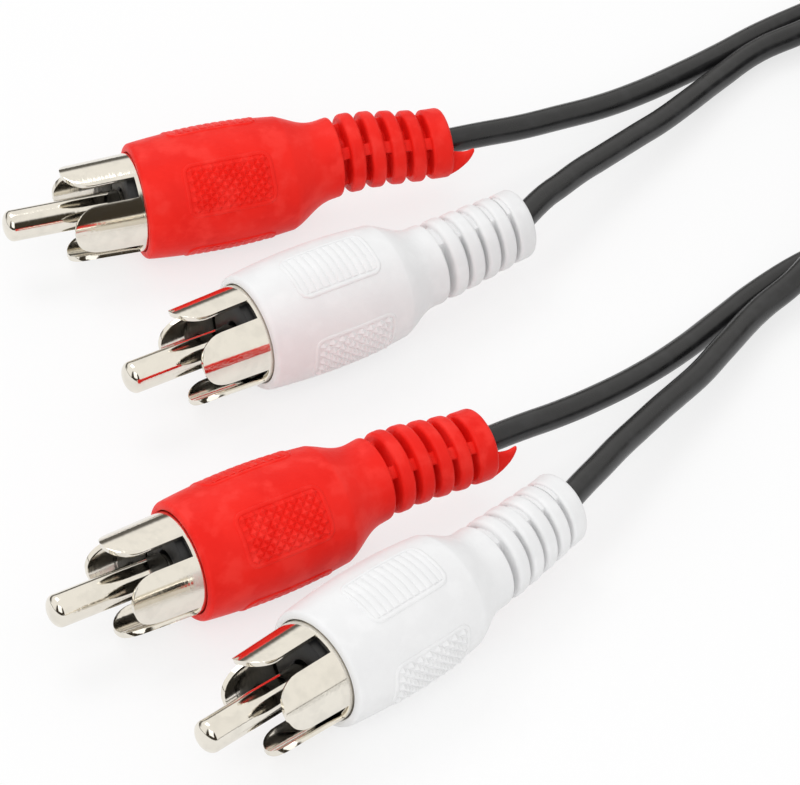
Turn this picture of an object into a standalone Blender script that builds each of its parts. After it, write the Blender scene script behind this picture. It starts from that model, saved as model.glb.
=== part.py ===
"""Twin phono lead: two red and two white moulded plugs on a flat pair of black strands.

The two ends of the lead lie side by side on a level surface. Between them the spare length
is wound into a round coil, which one tie holds. Millimetres throughout, turned into metres
where the meshes are made. +Z is up and the surface is z = 0.
"""

import math
from dataclasses import dataclass

import bmesh
import bpy
from mathutils import Vector

MM = 0.001

# Fits
CLEARANCE = 0.3

# Contact pin
PIN_TIP = -0.4
PIN_RADIUS = 1.6
PIN_DOME_LENGTH = 0.95
PIN_FREE_LENGTH = 11.7
PIN_NECK_RADIUS = 1.4
PIN_CUP_END = 22.5
PIN_CUP_DEPTH = 1.9
PIN_CUP_WALL = 0.6

# Outer contact shell
SHELL_RADIUS = 5.05
SHELL_WALL = 0.5
PETAL_TIP = 5.9
PETAL_ROOT = 12.4
PETAL_COUNT = 4
PETAL_HALF_ANGLE = 32.5
PETAL_TIP_LENGTH = 2.9
PETAL_CRIMP = 0.2
SHELL_END = 24.0
CRIMP_BORE = 2.0
CRIMP_WALL = 0.5
CRIMP_END = 30.0

# Insulator between pin and shell
INSULATOR_FACE = 12.0
INSULATOR_LENGTH = 7.0

# Moulded grip
BODY_FRONT = 13.3
BODY_FRONT_RADIUS = 5.9
BODY_RIM_ROUND = 0.45
BODY_CROWN = 21.3
BODY_CROWN_RADIUS = 6.35
BODY_CREASE = 29.0
BODY_CREASE_RADIUS = 5.85
FLANGE_START = 33.2
FLANGE_END = 34.4
FLANGE_RADIUS = 4.1
NECK_SAG = 0.25

# Raised pads on the grip
PAD_START = 17.35
PAD_LENGTH = 9.4
PAD_WIDTH = 5.5
PAD_RISE = 0.2
PAD_WALL = 0.15
DIAMONDS_ACROSS = 4
RIB_COUNT = 11
CREST_RISE = 0.27
VALLEY_RISE = 0.02

# Ribbed strain relief
RING_START = 35.3
RING_PITCH = 2.19
RING_WIDTH = 1.4
RING_COUNT = 4
RING_FIRST_RADIUS = 4.05
RING_EDGE = 0.2
END_RING_START = 44.06
END_RING_WIDTH = 2.24
END_RING_RADIUS = 3.6
END_RING_CHAMFER = 0.5
CORE_RADIUS = 2.2
WEB_RADIUS = 3.15
WEB_WIDTH = 1.15

# Bend of the white tails
TAIL_BEND_START = 32.5
TAIL_BEND_POWER = 1.35

# Moulding tag behind the red end rings
TAG_LENGTH = 2.3
TAG_LEAN = 0.25
TAG_THINNING = 0.4

# Lead
STRAND_RADIUS = 1.3
JACKET_START = 30.5
CONDUCTOR_RADIUS = 0.45
CONDUCTOR_START = 20.9
DIELECTRIC_RADIUS = 1.1
DIELECTRIC_START = 22.8
SHIELD_BORE = 1.4
SHIELD_WALL = 0.3
SHIELD_START = 24.6

# Coil and tie
COIL_CENTRE_X = 91.45
COIL_CENTRE_Y = 67.17
COIL_MEAN_RADIUS = 18.3
COIL_WIDTH = 17.0
COIL_HEIGHT = 11.2
COIL_CORNER = 2.6
TIE_THICKNESS = 0.5
TIE_WIDTH = 4.0
TIE_SLACK = 0.45
TIE_ANGLE = 20.0

# Colours
RED = (0.80, 0.018, 0.012)
WHITE = (0.86, 0.86, 0.87)
BLACK = (0.012, 0.012, 0.013)
NICKEL = (0.72, 0.69, 0.62)
COPPER = (0.80, 0.42, 0.26)
CLEAR = (0.80, 0.79, 0.74)

RING_ANGLES = tuple(18.0 * k for k in range(20))
SMALL_ANGLES = tuple(30.0 * k for k in range(12))


@dataclass(frozen=True)
class Plug:
    """One plug: its tip on the surface plan, its heading and how its pieces are turned."""

    name: str
    tip_x: float
    tip_y: float
    heading: float
    roll: float
    petal_roll: float
    colour: tuple
    tail_lift: float
    tail_side: float
    tail_rise: float
    tagged: bool


PLUGS = (
    Plug("red_a", -28.15, 29.23, 18.14, 143.0, -9.6, RED, 1.0, 0.0, 0.0, True),
    Plug("white_a", -14.94, 4.79, 31.92, 193.0, -21.8, WHITE, 0.0, 2.1, -0.95, False),
    Plug("red_b", -20.43, -28.87, 31.65, 140.0, -12.7, RED, 1.0, 0.0, 0.0, True),
    Plug("white_b", -6.10, -45.94, 42.69, 189.0, -25.9, WHITE, 0.0, 2.1, -0.95, False),
)

# Where each strand runs once it has left its plug, as far as the coil
STRAND_ROUTES = {
    "red_a": (
        (19.65, 45.37, 6.15),
        (23.55, 47.47, 5.5),
        (27.85, 50.27, 4.75),
        (32.05, 53.27, 3.9),
        (36.45, 56.97, 3.1),
        (40.85, 61.17, 2.4),
        (45.25, 65.67, 1.7),
        (49.75, 69.97, 1.4),
        (56.55, 75.07, 1.3),
        (61.55, 78.67, 1.35),
        (69.25, 83.37, 1.66),
    ),
    "white_a": (
        (25.95, 35.57, 5.5),
        (27.55, 37.77, 5.25),
        (29.65, 40.77, 4.85),
        (31.85, 43.57, 4.4),
        (34.05, 46.37, 3.95),
        (36.15, 49.07, 3.5),
        (38.35, 51.77, 3.1),
        (41.35, 55.77, 2.7),
        (45.15, 61.17, 2.1),
        (49.55, 66.17, 2.05),
        (54.05, 69.17, 2.2),
        (58.35, 72.67, 1.92),
        (66.25, 78.17, 1.5),
    ),
    "red_b": (
        (22.65, -1.93, 6.05),
        (26.55, 1.07, 5.35),
        (30.55, 4.77, 4.45),
        (34.65, 9.17, 3.45),
        (38.85, 14.37, 2.45),
        (43.05, 20.17, 1.6),
        (47.25, 25.37, 1.3),
        (53.05, 30.67, 1.3),
        (58.25, 33.77, 1.3),
        (63.75, 36.27, 1.5),
        (69.25, 38.27, 2.0),
        (74.95, 39.97, 2.8),
        (79.95, 41.17, 3.3),
    ),
    "white_b": (
        (28.45, -9.63, 5.5),
        (30.25, -6.63, 5.25),
        (32.25, -3.13, 4.85),
        (34.35, 0.27, 4.4),
        (36.45, 3.57, 4.0),
        (38.45, 6.57, 3.6),
        (40.55, 9.67, 3.3),
        (43.05, 13.97, 3.05),
        (47.15, 20.97, 2.5),
        (50.55, 24.77, 2.8),
        (54.25, 29.37, 3.8),
        (58.35, 33.57, 4.3),
        (63.15, 37.47, 4.2),
        (68.35, 40.57, 3.75),
        (76.35, 43.37, 3.3),
    ),
}


def pad_half_angle():
    """Half of the angle that a pad covers on the grip."""
    return math.degrees(math.asin(PAD_WIDTH / 2 / BODY_CROWN_RADIUS))


def grip_radius(s):
    """Radius of the barrel-shaped grip at the distance s behind the pin's tip."""
    if s < BODY_CROWN:
        share = (BODY_CROWN - s) / (BODY_CROWN - BODY_FRONT)
        return BODY_CROWN_RADIUS - (BODY_CROWN_RADIUS - BODY_FRONT_RADIUS) * share**2
    share = (s - BODY_CROWN) / (BODY_CREASE - BODY_CROWN)
    return BODY_CROWN_RADIUS - (BODY_CROWN_RADIUS - BODY_CREASE_RADIUS) * share**2


def axis_height(plug):
    """Height of a plug's axis when the lowest point of its grip is on the surface."""
    lowest = BODY_CROWN_RADIUS
    for k in (step / 4 for step in range(-240, 241)):
        turned = (-90.0 + k - plug.roll) % 90.0
        off_centre = min(turned, 90.0 - turned)
        if off_centre <= pad_half_angle():
            reach = BODY_CROWN_RADIUS + CREST_RISE
            lowest = max(lowest, reach * math.cos(math.radians(k)))
    return lowest


def tail_offset(s, plug):
    """How far the flexible tail stands to the left of and above the plug's axis at s."""
    tail_end = END_RING_START + END_RING_WIDTH
    crest = RING_START + RING_WIDTH / 2
    bow = 0.0
    if BODY_CREASE < s < crest:
        t = (s - BODY_CREASE) / (crest - BODY_CREASE)
        bow = plug.tail_lift * t * t * (3.0 - 2.0 * t)
    elif crest <= s < tail_end:
        t = (s - crest) / (tail_end - crest)
        bow = plug.tail_lift * 0.5 * (1.0 + math.cos(math.pi * t))
    share = max(0.0, s - TAIL_BEND_START) / (tail_end - TAIL_BEND_START)
    bend = share**TAIL_BEND_POWER
    return plug.tail_side * bend, bow + plug.tail_rise * bend


class Skin:
    """A closed surface made of rings and chains of points around the X axis."""

    def __init__(self, bent=None):
        self.mesh = bmesh.new()
        self.offset = self.mesh.verts.layers.float_vector.new("offset")
        self.bent = bent

    def point(self, s, radius, angle):
        """Adds one point at a distance along the axis, a radius and an angle."""
        turn = math.radians(angle)
        side, rise = tail_offset(s, self.bent) if self.bent else (0.0, 0.0)
        place = Vector((s, radius * math.cos(turn), radius * math.sin(turn)))
        vertex = self.mesh.verts.new(place * MM)
        vertex[self.offset] = Vector((0.0, side, rise)) * MM
        return vertex

    def ring(self, s, radius, angles):
        """A ring of points, each with its angle. The radius may be one value or one for each."""
        radii = radius if isinstance(radius, (list, tuple)) else [radius] * len(angles)
        return [(a, self.point(s, r, a)) for a, r in zip(angles, radii)]

    def bridge(self, first, second):
        """Joins two rings that may have different numbers of points."""
        m, n = len(first), len(second)
        i = j = 0
        while i < m or j < n:
            next_first = first[(i + 1) % m][0] + 360.0 * ((i + 1) // m)
            next_second = second[(j + 1) % n][0] + 360.0 * ((j + 1) // n)
            a, b = first[i % m][1], second[j % n][1]
            if i < m and j < n and abs(next_first - next_second) < 1e-6:
                c, d = first[(i + 1) % m][1], second[(j + 1) % n][1]
                self.mesh.faces.new((a, c, d, b))
                i += 1
                j += 1
            elif j >= n or (i < m and next_first < next_second):
                self.mesh.faces.new((a, first[(i + 1) % m][1], b))
                i += 1
            else:
                self.mesh.faces.new((a, second[(j + 1) % n][1], b))
                j += 1

    def strip(self, first, second):
        """Joins two open chains of (position, point), from their first to their last points."""
        i = j = 0
        while i < len(first) - 1 or j < len(second) - 1:
            a, b = first[i][1], second[j][1]
            more_first = i < len(first) - 1
            more_second = j < len(second) - 1
            if more_first and more_second and abs(first[i + 1][0] - second[j + 1][0]) < 1e-6:
                self.mesh.faces.new((a, first[i + 1][1], second[j + 1][1], b))
                i += 1
                j += 1
            elif not more_second or (more_first and first[i + 1][0] < second[j + 1][0]):
                self.mesh.faces.new((a, first[i + 1][1], b))
                i += 1
            else:
                self.mesh.faces.new((a, second[j + 1][1], b))
                j += 1

    def lathe(self, profile, angles, closed=True):
        """Turns a profile of (distance, radius) round the axis; a closed one meets itself."""
        rings = [self.ring(s, r, angles) for s, r in profile]
        for first, second in zip(rings, rings[1:]):
            self.bridge(first, second)
        if closed:
            self.bridge(rings[-1], rings[0])
        return rings

    def cap(self, ring, s):
        """Closes a ring with a fan round one point on the axis."""
        middle = self.point(s, 0.0, 0.0)
        for k, (_, vertex) in enumerate(ring):
            self.mesh.faces.new((vertex, ring[(k + 1) % len(ring)][1], middle))

    def finish(self, name, material, parent, roll=0.0):
        """Makes the object, turned about its axis and then moved where the tail bends."""
        turn = math.radians(roll)
        for v in self.mesh.verts:
            y, z = v.co.y, v.co.z
            v.co.y = y * math.cos(turn) - z * math.sin(turn)
            v.co.z = y * math.sin(turn) + z * math.cos(turn)
            v.co += v[self.offset]
        bmesh.ops.recalc_face_normals(self.mesh, faces=self.mesh.faces[:])
        return make_object(name, self.mesh, material, parent)


def make_material(name, colour, roughness, metallic):
    """A Principled material of one colour."""
    material = bpy.data.materials.new(name)
    material.use_nodes = True
    shader = material.node_tree.nodes["Principled BSDF"]
    shader.inputs["Base Color"].default_value = (*colour, 1.0)
    shader.inputs["Roughness"].default_value = roughness
    shader.inputs["Metallic"].default_value = metallic
    material.diffuse_color = (*colour, 1.0)
    return material


def make_object(name, mesh, material, parent=None):
    """Turns a bmesh into an object in the scene, under its plug where it has one."""
    data = bpy.data.meshes.new(name)
    mesh.to_mesh(data)
    mesh.free()
    data.materials.append(material)
    thing = bpy.data.objects.new(name, data)
    thing.parent = parent
    bpy.context.scene.collection.objects.link(thing)
    return thing


def make_body(plug, material, parent):
    """The grip, neck and strain relief, moulded in one round the shell and the strand."""
    skin = Skin(plug)
    pad_end = PAD_START + PAD_LENGTH
    bore = SHELL_RADIUS + CLEARANCE
    # Socket for the shell, then the rounded front rim
    socket_back = skin.ring(SHELL_END + CLEARANCE, bore, RING_ANGLES)
    socket_front = skin.ring(BODY_FRONT + 0.15, bore, RING_ANGLES)
    skin.bridge(socket_back, socket_front)
    last = socket_front
    rim = (
        (BODY_FRONT, BODY_FRONT_RADIUS - BODY_RIM_ROUND),
        (BODY_FRONT + 0.12, BODY_FRONT_RADIUS - 0.12),
        (BODY_FRONT + BODY_RIM_ROUND, BODY_FRONT_RADIUS + 0.02),
    )
    for s, radius in rim:
        ring = skin.ring(s, radius, RING_ANGLES)
        skin.bridge(last, ring)
        last = ring
    front, back = make_pads(skin)
    skin.bridge(last, front)
    # Neck: crease, hollow taper and flange
    last = back
    neck = [(BODY_CREASE, BODY_CREASE_RADIUS)]
    for k in (1, 2):
        t = k / 3.0
        s = BODY_CREASE + (FLANGE_START - BODY_CREASE) * t
        line = BODY_CREASE_RADIUS + (FLANGE_RADIUS - BODY_CREASE_RADIUS) * t
        neck.append((s, line - NECK_SAG * math.sin(math.pi * t) * t * 2.0))
    neck.append((FLANGE_START, FLANGE_RADIUS))
    neck.append((FLANGE_END - RING_EDGE, FLANGE_RADIUS))
    for s, radius in neck:
        ring = skin.ring(s, radius, RING_ANGLES)
        skin.bridge(last, ring)
        last = ring
    last = make_relief(skin, last)
    # Rear face and the passage for the strand, back to the socket
    end = END_RING_START + END_RING_WIDTH
    passage = STRAND_RADIUS + CLEARANCE
    rear = skin.ring(end, END_RING_RADIUS - END_RING_CHAMFER, ring_angles())
    skin.bridge(last, rear)
    hole = skin.ring(end, passage, ring_angles())
    first_face = len(skin.mesh.faces)
    skin.bridge(rear, hole)
    if plug.tagged:
        add_tag(skin, first_face)
    last = hole
    for s in passage_stations()[::-1]:
        ring = skin.ring(s, passage, SMALL_ANGLES)
        skin.bridge(last, ring)
        last = ring
    ferrule = CRIMP_BORE + CRIMP_WALL + CLEARANCE
    wide = skin.ring(CRIMP_END + CLEARANCE, ferrule, SMALL_ANGLES)
    skin.bridge(last, wide)
    step = skin.ring(SHELL_END + CLEARANCE, ferrule, SMALL_ANGLES)
    skin.bridge(wide, step)
    skin.bridge(step, socket_back)
    return skin.finish(plug.name + "_body", material, parent, plug.roll)


def passage_stations():
    """Where the strand's passage is given a ring along the tail, which bends."""
    return (CRIMP_END + CLEARANCE, 33.0, 35.8, 38.5, 41.5)


def make_pads(skin):
    """The zone with two diamond pads and two ribbed pads, as chains along the grip."""
    half = pad_half_angle()
    start, end = PAD_START, PAD_START + PAD_LENGTH
    middle = (start + end) / 2
    rows = 2 * RIB_COUNT
    step = (PAD_LENGTH - 2 * PAD_WALL) / rows

    def plain(angle):
        return [(s, skin.point(s, grip_radius(s), angle)) for s in (start, middle, end)]

    def raised(angle, heights):
        chain = [(start, skin.point(start, grip_radius(start), angle))]
        for k, height in enumerate(heights):
            s = start + PAD_WALL + k * step
            chain.append((s, skin.point(s, grip_radius(s) + height, angle)))
        chain.append((end, skin.point(end, grip_radius(end), angle)))
        return chain

    columns = []
    for quarter in range(4):
        centre = 90.0 * quarter
        columns.append((centre - half - 1.4, plain(centre - half - 1.4), None))
        if quarter % 2 == 0:
            across = 2 * DIAMONDS_ACROSS
            for j in range(across + 1):
                heights = []
                for k in range(rows + 1):
                    border = j in (0, across) or k in (0, rows)
                    crest = CREST_RISE if (j + k) % 2 == 0 else VALLEY_RISE
                    heights.append(PAD_RISE if border else crest)
                angle = centre - half + 2 * half * j / across
                columns.append((angle, raised(angle, heights), j if j < across else None))
        else:
            for j in range(3):
                heights = []
                for k in range(rows + 1):
                    crest = CREST_RISE if k % 2 == 1 else VALLEY_RISE
                    heights.append(PAD_RISE if k in (0, rows) else crest)
                angle = centre - half + half * j
                columns.append((angle, raised(angle, heights), None))
        columns.append((centre + half + 1.4, plain(centre + half + 1.4), None))
        columns.append((centre + 45.0, plain(centre + 45.0), None))
    for k, (_, chain, diamond) in enumerate(columns):
        following = columns[(k + 1) % len(columns)][1]
        if diamond is None:
            skin.strip(chain, following)
        else:
            join_diamonds(skin, chain, following, diamond)
    ordered = sorted(columns, key=lambda column: column[0] % 360.0)
    front = [(angle % 360.0, chain[0][1]) for angle, chain, _ in ordered]
    back = [(angle % 360.0, chain[-1][1]) for angle, chain, _ in ordered]
    return start_near_zero(front), start_near_zero(back)


def start_near_zero(ring):
    """Turns a ring's list so that its angles rise from the first point at or after zero."""
    return sorted(ring, key=lambda item: item[0])


def join_diamonds(skin, chain, following, column):
    """Joins two columns of a diamond pad so that every fold runs between two valleys."""
    for k in range(len(chain) - 1):
        a, b = chain[k][1], chain[k + 1][1]
        c, d = following[k + 1][1], following[k][1]
        row = k - 1
        if (row + column) % 2 == 0:
            skin.mesh.faces.new((a, b, d))
            skin.mesh.faces.new((b, c, d))
        else:
            skin.mesh.faces.new((a, b, c))
            skin.mesh.faces.new((a, c, d))


def web_angles():
    """Angles round a groove's floor: the feet and crests of the four webs, and the core."""
    crest = math.degrees(math.asin(WEB_WIDTH / 2 / WEB_RADIUS))
    foot = math.degrees(math.asin(WEB_WIDTH / 2 / CORE_RADIUS))
    angles, radii = [], []
    for quarter in range(4):
        centre = 90.0 * quarter
        for off, radius in (
            (-foot, CORE_RADIUS),
            (-crest, WEB_RADIUS),
            (crest, WEB_RADIUS),
            (foot, CORE_RADIUS),
            (45.0, CORE_RADIUS),
        ):
            angles.append(centre + off)
            radii.append(radius)
    first = angles[2:] + [a + 360.0 for a in angles[:2]]
    return tuple(first), radii[2:] + radii[:2]


def ring_angles():
    """Angles round a relief ring, with points over the edges of the webs."""
    crest = math.degrees(math.asin(WEB_WIDTH / 2 / WEB_RADIUS))
    angles = []
    for quarter in range(4):
        centre = 90.0 * quarter
        angles.extend((centre + crest, centre + 34.0, centre + 56.0, centre + 90.0 - crest))
    return tuple(angles)


def make_relief(skin, last):
    """Four narrow rings and an end ring, joined by a core and four webs."""
    rings = []
    for k in range(RING_COUNT):
        share = k / RING_COUNT
        radius = RING_FIRST_RADIUS + (END_RING_RADIUS - RING_FIRST_RADIUS) * share
        start = RING_START + RING_PITCH * k
        rings.append((start, start + RING_WIDTH, radius, RING_EDGE))
    end = END_RING_START + END_RING_WIDTH
    rings.append((END_RING_START, end - END_RING_CHAMFER, END_RING_RADIUS, 0.0))
    floor_angles, floor_radii = web_angles()
    groove_start = FLANGE_END
    for start, stop, radius, edge in rings:
        for s in (groove_start, start):
            floor = skin.ring(s, floor_radii, floor_angles)
            skin.bridge(last, floor)
            last = floor
        for s in (start + RING_EDGE, stop - edge):
            ring = skin.ring(s, radius, ring_angles())
            skin.bridge(last, ring)
            last = ring
        groove_start = stop
    return last


def add_tag(skin, first_face):
    """Draws the moulding tag out of two faces of the rear, low on the viewer's side."""
    skin.mesh.faces.ensure_lookup_table()
    faces = skin.mesh.faces[first_face + 1 : first_face + 3]
    drawn = bmesh.ops.extrude_face_region(skin.mesh, geom=faces)
    bmesh.ops.delete(skin.mesh, geom=faces, context="FACES_ONLY")
    moved = [item for item in drawn["geom"] if isinstance(item, bmesh.types.BMVert)]
    middle = sum((v.co for v in moved), Vector()) / len(moved)
    for v in moved:
        outward = Vector((0.0, middle.y, middle.z)).normalized()
        v.co.x += TAG_LENGTH * MM
        v.co += outward * (TAG_LEAN * MM)
        off = v.co - middle
        off.x = 0.0
        along = outward * off.dot(outward)
        v.co -= along * TAG_THINNING


def make_shell(plug, material, parent):
    """The outer contact: four petals, a sleeve in the grip and a ferrule on the braid."""
    skin = Skin()
    outer, inner = SHELL_RADIUS, SHELL_RADIUS - SHELL_WALL
    offsets = [PETAL_HALF_ANGLE * (j / 2 - 1) for j in range(5)]
    angles = []
    for petal in range(PETAL_COUNT):
        angles.extend(360.0 / PETAL_COUNT * petal + off for off in offsets)
    angles = tuple(angles[2:]) + tuple(a + 360.0 for a in angles[:2])
    root_out = skin.ring(PETAL_ROOT, outer, angles)
    root_in = skin.ring(PETAL_ROOT, inner, angles)
    few = tuple(36.0 * k for k in range(10))
    profile = (
        (SHELL_END, outer, angles),
        (SHELL_END, CRIMP_BORE + CRIMP_WALL, few),
        (CRIMP_END, CRIMP_BORE + CRIMP_WALL, few),
        (CRIMP_END, CRIMP_BORE, few),
        (SHELL_END - SHELL_WALL, CRIMP_BORE, few),
        (SHELL_END - SHELL_WALL, inner, angles),
    )
    last = root_out
    for s, radius, places in profile:
        ring = skin.ring(s, radius, places)
        skin.bridge(last, ring)
        last = ring
    skin.bridge(last, root_in)
    out_at = {round(a % 360.0, 3): v for a, v in root_out}
    in_at = {round(a % 360.0, 3): v for a, v in root_in}
    for petal in range(PETAL_COUNT):
        centre = 360.0 / PETAL_COUNT * petal
        keys = [round((centre + off) % 360.0, 3) for off in offsets]
        make_petal(skin, centre, [out_at[k] for k in keys], [in_at[k] for k in keys])
        after = round((centre + 360.0 / PETAL_COUNT - PETAL_HALF_ANGLE) % 360.0, 3)
        skin.mesh.faces.new((out_at[keys[-1]], out_at[after], in_at[after], in_at[keys[-1]]))
    return skin.finish(plug.name + "_shell", material, parent, plug.petal_roll)


def make_petal(skin, centre, root_out, root_in):
    """One round-ended petal, bent inwards a little towards its tip."""
    rows = []
    for turn in (30.0, 60.0, 90.0):
        s = PETAL_TIP + PETAL_TIP_LENGTH * (1.0 - math.cos(math.radians(turn)))
        width = PETAL_HALF_ANGLE * math.sin(math.radians(turn))
        rows.append((s, width))

    def radius_at(s, base):
        return base - PETAL_CRIMP * (PETAL_ROOT - s) / (PETAL_ROOT - PETAL_TIP)

    sides = []
    for base, root in ((SHELL_RADIUS, root_out), (SHELL_RADIUS - SHELL_WALL, root_in)):
        tip = skin.point(PETAL_TIP, radius_at(PETAL_TIP, base), centre)
        grid = []
        for s, width in rows:
            grid.append(
                [
                    skin.point(s, radius_at(s, base), centre + width * (j / 2 - 1))
                    for j in range(5)
                ]
            )
        grid.append(root)
        for j in range(4):
            skin.mesh.faces.new((tip, grid[0][j], grid[0][j + 1]))
        for above, below in zip(grid, grid[1:]):
            for j in range(4):
                skin.mesh.faces.new((above[j], below[j], below[j + 1], above[j + 1]))
        sides.append((tip, grid))
    (tip_out, grid_out), (tip_in, grid_in) = sides
    for j in (0, 4):
        edge_out = [tip_out] + [row[j] for row in grid_out]
        edge_in = [tip_in] + [row[j] for row in grid_in]
        for k in range(len(edge_out) - 1):
            skin.mesh.faces.new((edge_out[k], edge_out[k + 1], edge_in[k + 1], edge_in[k]))


def make_pin(plug, material, parent):
    """The turned pin: domed tip, neck through the insulator and solder cup."""
    skin = Skin()
    angles = tuple(22.5 * k for k in range(16))
    rings = []
    for turn in (30.0, 60.0, 90.0):
        s = PIN_TIP + PIN_DOME_LENGTH * (1.0 - math.cos(math.radians(turn)))
        rings.append(skin.ring(s, PIN_RADIUS * math.sin(math.radians(turn)), angles))
    skin.cap(rings[0], PIN_TIP)
    rings.append(skin.ring(PIN_FREE_LENGTH, PIN_RADIUS, angles))
    few = tuple(45.0 * k for k in range(8))
    cup = PIN_NECK_RADIUS - PIN_CUP_WALL
    rings.append(skin.ring(PIN_FREE_LENGTH, PIN_NECK_RADIUS, few))
    rings.append(skin.ring(PIN_CUP_END, PIN_NECK_RADIUS, few))
    rings.append(skin.ring(PIN_CUP_END, cup, few))
    rings.append(skin.ring(PIN_CUP_END - PIN_CUP_DEPTH, cup, few))
    for first, second in zip(rings, rings[1:]):
        skin.bridge(first, second)
    skin.cap(rings[-1], PIN_CUP_END - PIN_CUP_DEPTH)
    return skin.finish(plug.name + "_pin", material, parent)


def make_sleeve(name, material, parent, start, end, bore, radius, angles):
    """A plain sleeve between two distances."""
    skin = Skin()
    skin.lathe(((start, bore), (start, radius), (end, radius), (end, bore)), angles)
    return skin.finish(name, material, parent)


def make_conductor(plug, material, parent):
    """The bare end of the strand's wire, from the solder cup to the jacket."""
    skin = Skin()
    angles = tuple(60.0 * k for k in range(6))
    end = JACKET_START - CLEARANCE
    rings = skin.lathe(
        ((CONDUCTOR_START, CONDUCTOR_RADIUS), (end, CONDUCTOR_RADIUS)), angles, False
    )
    skin.cap(rings[0], CONDUCTOR_START)
    skin.cap(rings[-1], end)
    return skin.finish(plug.name + "_conductor", material, parent)


def make_strand(plug, material):
    """The strand from inside its plug to the coil, as one bevelled line."""
    turn = math.radians(plug.heading)
    height = axis_height(plug)
    stations = [JACKET_START, *passage_stations()[1:], END_RING_START + END_RING_WIDTH]
    points = []
    for s in stations:
        side, rise = tail_offset(s, plug)
        x = plug.tip_x + s * math.cos(turn) - side * math.sin(turn)
        y = plug.tip_y + s * math.sin(turn) + side * math.cos(turn)
        points.append((x, y, height + rise))
    points.extend(STRAND_ROUTES[plug.name])
    line = bpy.data.curves.new(plug.name + "_strand", "CURVE")
    line.dimensions = "3D"
    line.bevel_depth = STRAND_RADIUS * MM
    line.bevel_resolution = 2
    line.use_fill_caps = True
    spline = line.splines.new("POLY")
    spline.points.add(len(points) - 1)
    for place, (x, y, z) in zip(spline.points, points):
        place.co = (x * MM, y * MM, z * MM, 1.0)
    line.materials.append(material)
    strand = bpy.data.objects.new(plug.name + "_strand", line)
    bpy.context.scene.collection.objects.link(strand)
    return strand


def make_coil(material):
    """The outer shape of the wound lead: a turned ring of rounded section."""
    section = []
    half_width, half_height = COIL_WIDTH / 2, COIL_HEIGHT / 2
    for sx, sz in ((1, 1), (-1, 1), (-1, -1), (1, -1)):
        corner_x, corner_z = sx * (half_width - COIL_CORNER), sz * (half_height - COIL_CORNER)
        start = {(1, 1): 0, (-1, 1): 90, (-1, -1): 180, (1, -1): 270}[(sx, sz)]
        for k in range(2):
            turn = math.radians(start + 90.0 * k)
            x = corner_x + COIL_CORNER * math.cos(turn)
            z = corner_z + COIL_CORNER * math.sin(turn)
            section.append((COIL_MEAN_RADIUS + x, z))
    mesh = bmesh.new()
    base = TIE_THICKNESS + CLEARANCE + half_height
    loop = [mesh.verts.new((x * MM, 0.0, (z + base) * MM)) for x, z in section]
    edges = [mesh.edges.new((a, b)) for a, b in zip(loop, loop[1:] + loop[:1])]
    bmesh.ops.spin(
        mesh,
        geom=loop + edges,
        cent=(0.0, 0.0, 0.0),
        axis=(0.0, 0.0, 1.0),
        angle=math.tau,
        steps=28,
        use_merge=True,
    )
    bmesh.ops.remove_doubles(mesh, verts=mesh.verts[:], dist=1e-6)
    bmesh.ops.recalc_face_normals(mesh, faces=mesh.faces[:])
    coil = make_object("cable_coil", mesh, material)
    coil.location = (COIL_CENTRE_X * MM, COIL_CENTRE_Y * MM, 0.0)
    return coil


def make_tie(material):
    """The band round the coil's bundle that keeps the turns together."""
    mesh = bmesh.new()
    half_width = COIL_WIDTH / 2 + TIE_SLACK
    half_height = COIL_HEIGHT / 2 + CLEARANCE
    corner = COIL_CORNER + CLEARANCE
    rims = []
    for grow in (0.0, TIE_THICKNESS):
        rim = []
        for start, sx, sz in ((0, 1, 1), (90, -1, 1), (180, -1, -1), (270, 1, -1)):
            for k in range(2):
                turn = math.radians(start + 90.0 * k)
                x = sx * (half_width - corner) + (corner + grow) * math.cos(turn)
                z = sz * (half_height - corner) + (corner + grow) * math.sin(turn)
                rim.append((COIL_MEAN_RADIUS + x, z + TIE_THICKNESS + CLEARANCE + COIL_HEIGHT / 2))
        rims.append(rim)
    layers = []
    for side in (-TIE_WIDTH / 2, TIE_WIDTH / 2):
        for rim in rims:
            layers.append([mesh.verts.new((x * MM, side * MM, z * MM)) for x, z in rim])
    inner_a, outer_a, inner_b, outer_b = layers
    for first, second in ((inner_a, outer_a), (outer_a, outer_b), (outer_b, inner_b), (inner_b, inner_a)):
        for k in range(len(first)):
            after = (k + 1) % len(first)
            mesh.faces.new((first[k], first[after], second[after], second[k]))
    bmesh.ops.recalc_face_normals(mesh, faces=mesh.faces[:])
    tie = make_object("coil_tie", mesh, material)
    tie.location = (COIL_CENTRE_X * MM, COIL_CENTRE_Y * MM, 0.0)
    tie.rotation_euler = (0.0, 0.0, math.radians(TIE_ANGLE))
    return tie


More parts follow.
